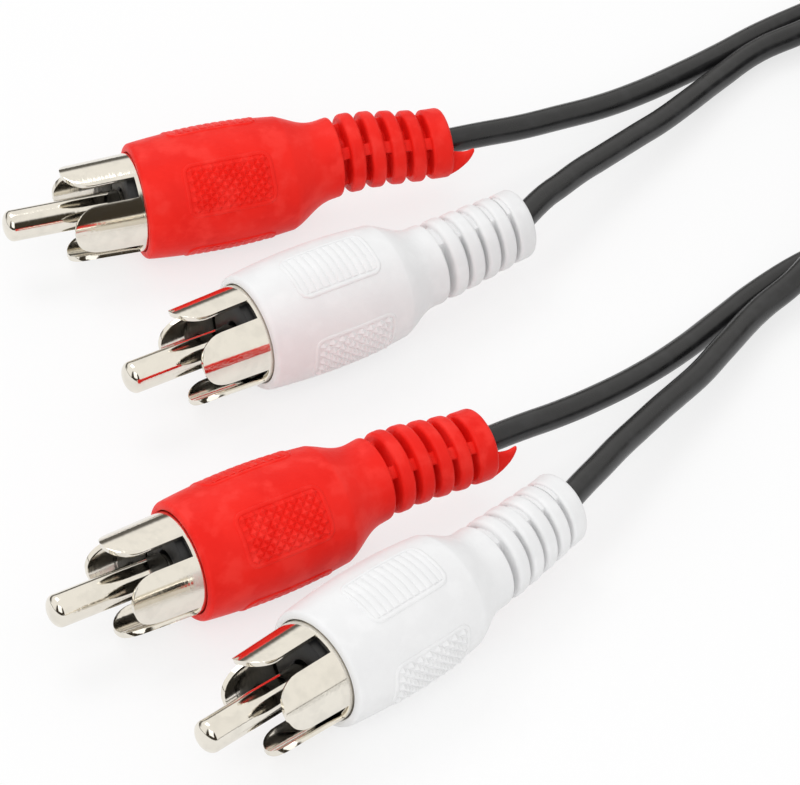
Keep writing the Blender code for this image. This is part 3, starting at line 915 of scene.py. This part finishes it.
@dataclass(frozen=True)
class PadShape:
    """The raised gripping pads."""

    start: float = 17.35
    length: float = 9.4
    width: float = 5.8
    border: float = 0.46
    border_rise: float = 0.12
    stud_rise: float = 0.31
    stud_half: float = 0.495
    stud_top: float = 0.1
    rib_rise: float = 0.09
    rib_half: float = 0.44
    corner: float = 0.95
    studs_along: int = 8
    studs_across: int = 5
    along_pitch: float = 1.08
    across_pitch: float = 1.01
    rib_count: int = 11
    rib_pitch: float = 0.8

    def laid(self, tree: Growth, pattern: Signal) -> bpy.types.Mesh:
        """Adds the border to a pattern, and lays the flat pad on the grip.

        Args:
            tree: The tree.
            pattern: Studs or ribs, drawn in X along and Y across with Z out.

        Returns:
            The mesh of a pad at angle 0, in metres.
        """
        flat = tree.together(self.border_ridge(tree), pattern)
        u, v, out = tree.place()
        s = u + (self.start + self.length / 2) * MM
        off = s - GRIP.crown * MM
        ends = ((GRIP.front, GRIP.front_radius), (GRIP.crease, GRIP.crease_radius))
        before, after = (
            (GRIP.crown_radius - radius) * MM / ((GRIP.crown - end) * MM) ** 2
            for end, radius in ends
        )
        fall = off * off * (off.below(0.0) * (before - after) + after)
        radius = out + (GRIP.crown_radius * MM) - fall
        turn = v * (1.0 / (GRIP.crown_radius * MM))
        wrapped = tree.vector(s, radius * turn.cos(), radius * turn.sin())
        return tree.grow(tree.moved(flat, wrapped))

    def border_ridge(self, tree: Growth) -> Signal:
        """The ridge round a pad: a rounded rectangle swept with a low arch.

        Args:
            tree: The tree that it is drawn in.

        Returns:
            The flat ridge.
        """
        long, wide = ((side - self.border) * MM for side in (self.length, self.width))
        sockets: dict[str, Any] = {"Width": long, "Height": wide}
        outline = tree.add(
            "GeometryNodeCurvePrimitiveQuadrilateral", {"mode": "RECTANGLE"}, sockets
        )
        sockets = {"Curve": outline, "Radius": self.corner * MM, "Count": 8, "Limit Radius": True}
        rounded = tree.add("GeometryNodeFilletCurve", {"mode": "POLY"}, sockets)
        ridge = tree.swept(rounded, 160, 12, self.border / 2 * MM, False)
        u, v, out = tree.place()
        return tree.moved(ridge, tree.vector(u, v, out * (self.border_rise / (self.border / 2))))

    def diamonds(self) -> bpy.types.Mesh:
        """A pad with crossing rows of small pyramids.

        Returns:
            The mesh of a pad at angle 0.
        """
        inputs = {
            "Rise": (FLOAT, self.stud_rise * MM),
            "Along": (FLOAT, self.along_pitch * MM),
            "Across": (FLOAT, self.across_pitch * MM),
            "Finish": (MATERIAL, RED_PLASTIC.make()),
        }
        tree = Growth("diamond_pad", inputs)
        along, across = tree.given("Along"), tree.given("Across")
        sockets = {"Vertices": 4, "Radius Top": self.stud_top, "Radius Bottom": 1.0, "Depth": 1.0}
        sides = tree.add("GeometryNodeMeshCone", {"fill_type": "NONE"}, sockets)
        sockets = {"Vertices": 4, "Radius": self.stud_top}
        top = tree.add("GeometryNodeMeshCircle", {"fill_type": "NGON"}, sockets)
        top = tree.add("GeometryNodeTransform", None, {0: top, "Translation": (0, 0, 1.0)})
        sockets = {0: tree.together(top, sides), "Distance": 0.001}
        stud = tree.add("GeometryNodeMergeByDistance", None, sockets)
        rows = []
        for less in (0, 1):
            many, wide = self.studs_along - less, self.studs_across - less
            sockets = {"Size X": along * float(many - 1), "Size Y": across * float(wide - 1)}
            sockets |= {"Vertices X": many, "Vertices Y": wide}
            rows.append(tree.add("GeometryNodeMeshGrid", None, sockets))
        size = tree.vector(along * self.stud_half, across * self.stud_half, tree.given("Rise"))
        return self.laid(tree, tree.repeated(stud, tree.together(*rows), size))

    def ribs(self) -> bpy.types.Mesh:
        """A pad with ribs across it.

        Returns:
            The mesh of a pad at angle 0.
        """
        inputs = {
            "Rise": (FLOAT, self.rib_rise * MM),
            "Count": (WHOLE, self.rib_count),
            "Pitch": (FLOAT, self.rib_pitch * MM),
            "Finish": (MATERIAL, RED_PLASTIC.make()),
        }
        tree = Growth("ribbed_pad", inputs)
        half = (self.width / 2 - self.border * 1.3) * MM
        ends = {"Start": (0.0, -half, 0.0), "End": (0.0, half, 0.0)}
        line = tree.add("GeometryNodeCurvePrimitiveLine", None, ends)
        bar = tree.swept(line, 15, 16, 1.0, True)
        u, v, out = tree.place()
        width = self.rib_pitch * self.rib_half * MM
        rib = tree.moved(bar, tree.vector(u * width, v, out * tree.given("Rise")))
        count = tree.given("Count")
        reach = (count - 1.0) * tree.given("Pitch") / 2.0
        start, stop = tree.vector(reach * -1.0, 0.0, 0.0), tree.vector(reach, 0.0, 0.0)
        sockets = {"Count": count, "Start Location": start, "Offset": stop}
        row = tree.add("GeometryNodeMeshLine", {"mode": "END_POINTS"}, sockets)
        return self.laid(tree, tree.repeated(rib, row))


@dataclass(frozen=True)
class ReliefShape:
    """The ribbed strain relief behind the grip."""

    front: float = 34.2
    start: float = 35.3
    pitch: float = 2.19
    width: float = 1.45
    count: int = 4
    first_radius: float = 4.05
    ring_round: float = 0.42
    end_start: float = 44.06
    end_width: float = 2.24
    end_radius: float = 3.6
    end_front_round: float = 0.34
    end_back_round: float = 0.55
    core: float = 1.78
    webs: tuple[float, ...] = (0.0, 90.0, 180.0, 270.0)
    web_radius: float = 3.15
    web_width: float = 1.2
    foot: float = 0.12
    step: float = 0.02
    bore: float = 1.6

    def floor(self, turns: np.ndarray) -> np.ndarray:
        """Radius of a groove's floor with its webs.

        Args:
            turns: Angles in radians.

        Returns:
            A radius for each angle.
        """
        side = np.zeros(len(turns))
        for web in np.radians(self.webs):
            off = np.abs((turns - web + math.pi) % (2 * math.pi) - math.pi)
            reach = self.web_width / 2 / np.maximum(np.sin(np.minimum(off, math.pi / 2)), 1e-3)
            side = np.maximum(side, reach)
        return np.clip(side, self.core, self.web_radius)

    def profile(self, turns: np.ndarray) -> list[tuple[float, Any]]:
        """The closed outline with its rings.

        Args:
            turns: Angles in radians.

        Returns:
            Distances with a radius or radii.
        """
        floor = self.floor(turns)
        last = self.front
        points: list[tuple[float, Any]] = [(last, self.bore), (last, 2.0), (last, floor)]
        for k in range(self.count + 1):
            if k < self.count:
                radius = self.first_radius - (self.first_radius - self.end_radius) * k / self.count
                start = self.start + self.pitch * k
                stop, front, back = start + self.width, self.ring_round, self.ring_round
            else:
                radius, start = self.end_radius, self.end_start
                stop = start + self.end_width
                front, back = self.end_front_round, self.end_back_round
            half = (floor + radius) / 2
            points += [(s - self.step, floor) for s in np.linspace(last, start, 5)[1:]]
            points += [(start, floor + self.foot), (start + self.step, half)]
            points += arc((start + front, radius - front), (front, front), 180.0, 90.0, 5)
            points += [(s, radius) for s in np.linspace(start + front, stop - back, 4)[1:-1]]
            points += arc((stop - back, radius - back), (back, back), 90.0, 0.0, 5)
            if k < self.count:
                points += [(stop - self.step, half), (stop, floor + self.foot)]
                points.append((stop + self.step, floor))
            last = stop
        points += [(last, (self.end_radius + self.bore) / 2), (last, self.bore + self.foot)]
        return points + [(s, self.bore) for s in (last - 0.1, 44.0, 41.5, 38.5, 35.8)]


# The grooves of the white mouldings are nearly filled above and below
RELIEFS = {
    Moulding.RED: ReliefShape(),
    Moulding.WHITE: ReliefShape(width=1.62, webs=(-105.0, 75.0), web_radius=3.42, web_width=3.1),
}


@dataclass(frozen=True)
class TailShape:
    """How a plug's tail bends, and whether a flap of moulding is left behind it."""

    lift: float = 0.0
    side: float = 0.0
    drop: float = 0.0
    tagged: bool = False
    lift_start: float = 29.0
    crest: float = 36.025
    bend_start: float = 32.5
    bend_power: float = 1.35
    end: float = 46.3

    def offsets(self, s: float | np.ndarray) -> tuple[Any, Any]:
        """How far the tail stands to the left of and above the axis at s.

        Args:
            s: Distance or distances.

        Returns:
            Offsets to the left and upwards, in millimetres.
        """
        s = np.asarray(s, float)
        up = np.clip((s - self.lift_start) / (self.crest - self.lift_start), 0.0, 1.0)
        down = np.clip((s - self.crest) / (self.end - self.crest), 0.0, 1.0)
        crown = 0.5 + 0.5 * np.cos(math.pi * down)
        rise = np.where(s < self.crest, up * up * (3.0 - 2.0 * up), crown)
        bend = np.maximum(0.0, s - self.bend_start) / (self.end - self.bend_start)
        bend = bend**self.bend_power
        return self.side * bend, self.lift * rise - self.drop * bend


TAILS = {
    Moulding.RED: TailShape(lift=1.0, tagged=True),
    Moulding.WHITE: TailShape(side=2.1, drop=0.95),
}


@dataclass(frozen=True)
class TagShape:
    """The small flap of moulding left behind the red end rings."""

    # Distance, near side, middle height, half height and half thickness of each section
    stations: tuple[tuple[float, ...], ...] = (
        (45.90, 2.35, -1.02, 1.30, 0.45),
        (46.50, 2.40, -0.93, 1.14, 0.40),
        (47.00, 2.48, -0.82, 0.95, 0.36),
        (47.45, 2.54, -0.65, 0.76, 0.32),
        (47.85, 2.58, -0.45, 0.61, 0.28),
        (48.20, 2.58, -0.20, 0.46, 0.24),
        (48.45, 2.58, 0.05, 0.31, 0.19),
        (48.60, 2.58, 0.20, 0.18, 0.12),
    )
    squareness: float = 0.7
    lean: float = 0.18
    shear: float = 0.1

    def mesh(self) -> bpy.types.Mesh:
        """Lofts the flap with rounded sections.

        Returns:
            The mesh in the plug's frame, before its roll.
        """
        turns = around(20)
        across, upward = (
            np.sign(wave) * np.abs(wave) ** self.squareness
            for wave in (np.cos(turns), np.sin(turns))
        )
        rows = []
        for s, near, up, tall, thick in self.stations:
            z = tall * upward
            rows.append(
                np.stack([s + self.shear * z, self.lean * z - near - thick * across, up + z], 1)
            )
        return loop_grid(np.array(rows)[:, ::-1] * MM, closed_rows=False, caps=True)


@dataclass(frozen=True)
class ContactShape:
    """The outer contact: four petals on a sleeve, and the ferrule behind it."""

    radius: float = 5.05
    wall: float = 0.5
    edge: float = 0.13
    petals: int = 4
    tip: float = 5.9
    root: float = 12.85
    half_angle: float = 32.5
    tip_length: float = 2.9
    tip_power: float = 0.95
    crimp: float = 0.2
    columns: int = 12
    gap_columns: int = 4
    sleeve: tuple[float, ...] = (13.2, 13.7, 16.0, 24.0)
    stations: tuple[float, ...] = (12.0, 11.1, 10.2, 9.5)
    tip_angles: tuple[float, ...] = (90, 78, 66, 55, 44, 34, 24, 15, 7)
    ferrule: tuple[Pair, ...] = (
        (23.4, 4.6), (23.9, 4.6), (23.9, 2.5), (30.0, 2.5), (30.0, 2.0), (23.4, 2.0)
    )

    def sheet(self) -> bpy.types.Mesh:
        """The outer surface as one open sheet.

        Returns:
            The mesh round the X axis.
        """
        work = bmesh.new()
        half, columns = math.radians(self.half_angle), self.columns
        centres = [2 * math.pi / self.petals * petal for petal in range(self.petals)]
        gap = 2 * math.pi / self.petals - 2 * half

        def row(s: float, turns: Iterable[float]) -> list[bmesh.types.BMVert]:
            """Adds the sheet's points at one distance.

            Args:
                s: The distance.
                turns: Angles of the points, in radians.

            Returns:
                The points.
            """
            share = max(0.0, (self.root - s) / (self.root - self.tip))
            r = self.radius - self.crimp * share
            places = [Vector((s, r * math.cos(t), r * math.sin(t))) * MM for t in turns]
            return [work.verts.new(place) for place in places]

        turns: list[float] = []
        for centre in centres:
            turns += [centre - half + 2 * half * j / columns for j in range(columns)]
            turns += [centre + half + gap * j / self.gap_columns for j in range(self.gap_columns)]
        rings = [row(s, turns) for s in (self.root, *self.sleeve)]
        for low, high in zip(rings, rings[1:]):
            for j in range(len(turns)):
                m = (j + 1) % len(turns)
                work.faces.new((low[j], low[m], high[m], high[j]))
        outline = [(s, 1.0) for s in self.stations]
        for angle in map(math.radians, self.tip_angles):
            s = self.tip + self.tip_length * (1 - math.cos(angle))
            outline.append((s, math.sin(angle) ** self.tip_power))
        for petal, centre in enumerate(centres):
            first = petal * (columns + self.gap_columns)
            last = [rings[0][(first + j) % len(turns)] for j in range(columns + 1)]
            for s, share in outline:
                spread = [half * share * (2 * j / columns - 1) for j in range(columns + 1)]
                here = row(s, [centre + off for off in spread])
                for j in range(columns):
                    work.faces.new((last[j], here[j], here[j + 1], last[j + 1]))
                last = here
        for face in work.faces:
            middle = face.calc_center_median()
            if face.normal.dot(Vector((0, middle.y, middle.z))) < 0:
                face.normal_flip()
        bmesh.ops.recalc_face_normals(work, faces=work.faces[:])
        mesh = bpy.data.meshes.new("petals")
        work.to_mesh(mesh)
        work.free()
        return mesh

    def mesh(self) -> bpy.types.Mesh:
        """Gives the sheet its wall and rounded edges, and adds the ferrule.

        Returns:
            The mesh round the X axis, mapped along it.
        """
        sheet = put("sheet", self.sheet())
        wall = sheet.modifiers.new("wall", "SOLIDIFY")
        wall.thickness, wall.offset, wall.use_even_offset = self.wall * MM, -1.0, True
        edge = sheet.modifiers.new("edge", "BEVEL")
        edge.width, edge.segments = self.edge * MM, 3
        edge.limit_method, edge.angle_limit = "ANGLE", math.radians(50)
        ferrule = loop_grid(rings_from(self.ferrule, around(48)))
        mesh = join([settled(sheet), ferrule], [Matrix.Identity(4)] * 2)
        map_along(mesh)
        return mesh


@dataclass(frozen=True)
class PinShape:
    """The turned centre pin with its domed tip, neck and cup."""

    tip: float = -0.4
    radius: float = 1.6
    dome: float = 0.95
    dome_power: float = 0.9
    free_end: float = 11.7
    neck: float = 1.4
    end: float = 22.5
    cup_floor: float = 20.6
    cup_radius: float = 0.8

    def mesh(self) -> bpy.types.Mesh:
        """Turns the pin.

        Returns:
            The mesh round the X axis, mapped along it.
        """
        points = []
        for turn in np.radians(np.linspace(0.0, 90.0, 13)[1:]):
            s = self.tip + self.dome * (1 - math.cos(turn))
            points.append((s, self.radius * math.sin(turn) ** self.dome_power))
        points += [(s, self.radius) for s in (1.0, 6.0, self.free_end - 0.15)]
        points += [(self.free_end, self.radius - 0.1), (self.free_end, self.neck)]
        points += [(17.0, self.neck), (self.end, self.neck), (self.end, self.cup_radius)]
        points += [(self.cup_floor, self.cup_radius), (self.cup_floor, 0.05)]
        mesh = loop_grid(rings_from(points, around(96)), closed_rows=False, caps=True)
        map_along(mesh)
        return mesh


@dataclass(frozen=True)
class DiscShape:
    """The black disc between the pin and the outer contact."""

    face: float = 12.02
    back: float = 19.0
    bore: float = 1.7
    radius: float = 4.25

    def mesh(self) -> bpy.types.Mesh:
        """Turns the disc.

        Returns:
            The mesh round the X axis.
        """
        edge = self.face + 0.13
        profile = [(self.back, self.bore), (edge, self.bore), (self.face, self.bore + 0.12)]
        profile += [(self.face, self.radius - 0.2), (edge, self.radius - 0.02)]
        return loop_grid(rings_from([*profile, (self.back, self.radius)], around(64)))


@dataclass
class PlugBuild:
    """One plug with its grip, contacts and strain relief."""

    name: str
    moulding: Moulding
    tip: Pair
    heading: float
    height: float
    roll: float
    petal_roll: float

    @property
    def tail(self) -> TailShape:
        """The bend of its tail."""
        return TAILS[self.moulding]

    def seat(self, mesh: bpy.types.Mesh, roll: float) -> None:
        """Turns a mesh about the plug's axis, bends it with the tail and puts it in place.

        Args:
            mesh: The mesh, round the X axis.
            roll: Turn in degrees.
        """
        mesh.transform(about_x(roll))
        points = np.zeros(len(mesh.vertices) * 3)
        mesh.vertices.foreach_get("co", points)
        points = points.reshape(-1, 3)
        left, up = self.tail.offsets(points[:, 0] / MM)
        points[:, 1] += left * MM
        points[:, 2] += up * MM
        mesh.vertices.foreach_set("co", points.ravel())
        where = Matrix.Translation((self.tip[0] * MM, self.tip[1] * MM, self.height * MM))
        mesh.transform(where @ Matrix.Rotation(math.radians(self.heading), 4, "Z"))
        mesh.update()

    def make(
        self,
        label: str,
        mesh: bpy.types.Mesh,
        sharp: float,
        roll: float,
        finish: Finish,
        node: str,
        slot: str,
    ) -> None:
        """Makes one piece of the plug from a mesh round the X axis.

        Args:
            label: Last part of its name.
            mesh: The mesh.
            sharp: Angle in degrees above which its folds stay sharp.
            roll: Turn about the axis in degrees.
            finish: Its finish.
            node: Last part of the name of the CAD node that it stands for.
            slot: Not used.
        """
        self.seat(mesh, roll)
        shade(mesh, sharp)
        nodes = [f"{self.name}_{node}"]
        piece = make_piece(f"{self.name}_{label}", mesh, finish, nodes)
        LOG.info("%s: %d faces", piece.name, len(mesh.polygons))

    def build_body(self, pads: Sequence[bpy.types.Mesh]) -> None:
        """Builds the barrel, the pads on it, and the strain relief with the red ones' flap.

        Args:
            pads: A diamond pad and a ribbed pad at angle 0.
        """
        red = self.moulding is Moulding.RED
        finish = RED_PLASTIC if red else WHITE_PLASTIC
        shared = (self.roll, finish, "body", f"{self.moulding.value}_moulding")
        self.make("grip", loop_grid(rings_from(GRIP.profile(), around(128))), 50.0, *shared)
        quarters = [about_x(90.0 * k) for k in range(4)]
        self.make("pads", join([*pads, *pads], quarters), 40.0, *shared)
        turns = around(192)
        parts = [loop_grid(rings_from(RELIEFS[self.moulding].profile(turns), turns))]
        places = [Matrix.Identity(4)]
        if self.tail.tagged:
            parts.append(TagShape().mesh())
            places.append(about_x(-self.roll))
        self.make("relief", join(parts, places), 50.0, *shared)

    def build_contacts(self) -> None:
        """Builds the outer contact, the pin and the disc that holds the pin."""
        mesh = ContactShape().mesh()
        self.make("contact", mesh, 38.0, self.petal_roll, NICKEL, "shell", "nickel")
        self.make("centre_pin", PinShape().mesh(), 42.0, 0.0, NICKEL, "pin", "nickel")
        mesh = DiscShape().mesh()
        self.make("disc", mesh, 40.0, 0.0, INSULATOR, "insulator", "black_moulding")

    def dress_inside(self) -> None:
        """Gives the hidden wire, braid and dielectric their finishes."""
        for part, finish in (("dielectric", CLEAR), ("shield", COPPER), ("conductor", COPPER)):
            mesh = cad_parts[f"{self.name}_{part}"].data
            mesh.materials.clear()
            mesh.materials.append(finish.make())

    def build(self, pads: Sequence[bpy.types.Mesh]) -> None:
        """Builds the whole plug.

        Args:
            pads: A diamond pad and a ribbed pad at angle 0.
        """
        self.build_body(pads)
        self.build_contacts()
        self.dress_inside()


PLUGS = (
    PlugBuild("red_a", Moulding.RED, (-28.15, 29.23), 18.14, 6.487, 143.0, -9.6),
    PlugBuild("white_a", Moulding.WHITE, (-14.94, 4.79), 31.92, 6.62, 193.0, -21.8),
    PlugBuild("red_b", Moulding.RED, (-20.43, -28.87), 31.65, 6.409, 140.0, -12.7),
    PlugBuild("white_b", Moulding.WHITE, (-6.10, -45.94), 42.69, 6.62, 189.0, -25.9),
)


# The lead

# Where each strand lies between its plug and the coil
ROUTES = {
    "red_a": (
        (19.65, 45.37, 6.15), (23.55, 47.47, 5.5), (27.85, 50.27, 4.75), (32.05, 53.27, 3.9),
        (36.45, 56.97, 3.1), (40.85, 61.17, 2.4), (45.25, 65.67, 1.7), (49.75, 69.97, 1.4),
        (56.55, 75.07, 1.3), (61.55, 78.67, 1.35), (69.25, 83.37, 1.66),
    ),
    "white_a": (
        (25.95, 35.57, 5.5), (27.55, 37.77, 5.25), (29.65, 40.77, 4.85), (31.85, 43.57, 4.4),
        (34.05, 46.37, 3.95), (36.15, 49.07, 3.5), (38.35, 51.77, 3.1), (41.35, 55.77, 2.7),
        (45.15, 61.17, 2.1), (49.55, 66.17, 2.05), (54.05, 69.17, 2.2), (58.35, 72.67, 1.92),
        (66.25, 78.17, 1.5),
    ),
    "red_b": (
        (22.65, -1.93, 6.05), (26.55, 1.07, 5.35), (30.55, 4.77, 4.45), (34.65, 9.17, 3.45),
        (38.85, 14.37, 2.45), (43.05, 20.17, 1.6), (47.25, 25.37, 1.3), (53.05, 30.67, 1.3),
        (58.25, 33.77, 1.3), (63.75, 36.27, 1.5), (69.25, 38.27, 2.0), (74.95, 39.97, 2.8),
        (79.95, 41.17, 3.3),
    ),
    "white_b": (
        (28.45, -9.63, 5.5), (30.25, -6.63, 5.25), (32.25, -3.13, 4.85), (34.35, 0.27, 4.4),
        (36.45, 3.57, 4.0), (38.45, 6.57, 3.6), (40.55, 9.67, 3.3), (43.05, 13.97, 3.05),
        (47.15, 20.97, 2.5), (50.55, 24.77, 2.8), (54.25, 29.37, 3.8), (58.35, 33.57, 4.3),
        (63.15, 37.47, 4.2), (68.35, 40.57, 3.75), (76.35, 43.37, 3.3),
    ),
}


@dataclass
class LeadBuild:
    """The two strands, each from its plug at one end through the coil to the other end."""

    centre: Pair = (91.45, 67.17)
    mean_radius: float = 18.3
    column: float = 5.45
    half_pair: float = 1.36
    levels: tuple[float, ...] = (2.25, 5.0, 7.75, 10.5)
    # Row and column of each turn of the coil, in the order in which it is wound
    cells: tuple[tuple[int, int], ...] = (
        (0, 2), (0, 1), (0, 0), (1, 0), (1, 1), (2, 1),
        (2, 0), (3, 0), (3, 1), (3, 2), (2, 2), (1, 2),
    )
    start_turn: float = 110.0
    last_turn: float = -92.0
    per_turn: int = 20
    change_over: float = 0.82
    radius: float = 1.3
    band_half: Pair = (8.95, 5.9)
    band_corner: float = 2.9
    band_thickness: float = 0.5
    band_width: float = 3.8
    band_edge: float = 0.15
    band_height: float = 6.4
    band_turn: float = 20.0

    def coil(self, outer: bool) -> list[Triple]:
        """The wound part of one strand.

        Args:
            outer: Whether it is the outer strand of the pair.

        Returns:
            Points in millimetres.
        """
        middle = self.mean_radius + (self.half_pair if outer else -self.half_pair)
        cells = [(middle + (c - 1) * self.column, self.levels[r]) for r, c in self.cells]
        total = 360.0 * (len(cells) - 1) + (self.start_turn - self.last_turn) % 360.0
        points = []
        steps = int(total / 360.0 * self.per_turn)
        for k in range(steps + 1):
            turned = total * k / steps
            lap = min(int(turned // 360.0), len(cells) - 1)
            # A turn keeps to its cell and moves over to the next in its last sixth
            late = (turned / 360.0 - lap - self.change_over) / (1.0 - self.change_over)
            blend = min(1.0, max(0.0, late))
            blend = blend * blend * (3.0 - 2.0 * blend)
            here, after = cells[lap], cells[min(lap + 1, len(cells) - 1)]
            r, z = (a + (b - a) * blend for a, b in zip(here, after))
            turn = math.radians(self.start_turn - turned)
            points.append(
                (self.centre[0] + r * math.cos(turn), self.centre[1] + r * math.sin(turn), z)
            )
        return points

    def route(self, colour: str) -> list[Triple]:
        """The whole line of one strand.

        Args:
            colour: Colour of the plugs that it joins.

        Returns:
            Points in millimetres.
        """
        ends = []
        for end in "ab":
            plug = next(p for p in PLUGS if p.name == f"{colour}_{end}")
            reach, turn = plug.tail.end, math.radians(plug.heading)
            left, up = (float(v) for v in plug.tail.offsets(reach))
            start = (
                plug.tip[0] + reach * math.cos(turn) - left * math.sin(turn),
                plug.tip[1] + reach * math.sin(turn) + left * math.cos(turn),
                plug.height + up,
            )
            ends.append([start, *ROUTES[plug.name]])
        return ends[0] + self.coil(colour == "red") + ends[1][::-1]

    def build_strand(self, colour: str, pieces: Sequence[bpy.types.Object]) -> None:
        """Builds one strand as a bevelled curve.

        Args:
            colour: Colour of the plugs that it joins.
            pieces: Not used.
        """
        points = self.route(colour)
        line = bpy.data.curves.new(colour + "_lead", "CURVE")
        line.dimensions, line.use_fill_caps = "3D", True
        line.bevel_depth = self.radius * MM
        line.bevel_resolution = line.resolution_u = 5
        spline = line.splines.new("BEZIER")
        spline.bezier_points.add(len(points) - 1)
        for knot, point in zip(spline.bezier_points, points):
            knot.co = Vector(point) * MM
            knot.handle_left_type = knot.handle_right_type = "AUTO"
        line.materials.append(JACKET.make())
        strand = put(colour + "_lead", line)
        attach(strand, "root")
        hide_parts(f"{colour}_a_strand", f"{colour}_b_strand", "cable_coil")
        length, thickness = spline.calc_length(), 2 * self.radius * MM
        leaves = [c * MM for c in points[0]]
        LOG.info("%s: %.3f m", strand.name, length)

    def build_band(self) -> bpy.types.Object:
        """The band round the coil's bundle.

        Returns:
            The piece.
        """
        rims = []
        for grow in (0.0, self.band_thickness):
            rim: list[Pair] = []
            for start, sx, sz in ((0, 1, 1), (90, -1, 1), (180, -1, -1), (270, 1, -1)):
                x = self.mean_radius + sx * (self.band_half[0] - self.band_corner)
                z = self.band_height + sz * (self.band_half[1] - self.band_corner)
                reach = self.band_corner + grow
                rim += arc((x, z), (reach, reach), start, start + 90.0, 8)
            rims.append(rim)
        inner, outer = rims
        side, flat = self.band_width / 2, self.band_width / 2 - self.band_edge
        loops = (
            (inner, -side), (outer, -side), (outer, -flat), (outer, flat), (outer, side),
            (inner, side),
        )
        rows = np.array([[(x, y, z) for x, z in rim] for rim, y in loops])
        mesh = loop_grid(rows[:, ::-1] * MM)
        place = Matrix.Translation((self.centre[0] * MM, self.centre[1] * MM, 0.0))
        mesh.transform(place @ Matrix.Rotation(math.radians(self.band_turn), 4, "Z"))
        mesh.update()
        shade(mesh, 40.0)
        band = make_piece("coil_band", mesh, INSULATOR, ["coil_tie"])
        LOG.info("%s: %d faces", band.name, len(mesh.polygons))
        return band


def main() -> None:
    """Builds the studio, the lead and the plugs in order."""
    logging.basicConfig(level=logging.INFO, format="%(message)s")
    studio = Studio()
    studio.build_camera()
    lead = LeadBuild()
    lead.build_strand("red", [lead.build_band()])
    lead.build_strand("white", [])
    pads = [PadShape().diamonds(), PadShape().ribs()]
    for plug in PLUGS:
        plug.build(pads)
    studio.build_floor()
    studio.build_lamps()
    studio.build_room()


if __name__ == "__main__":
    main()
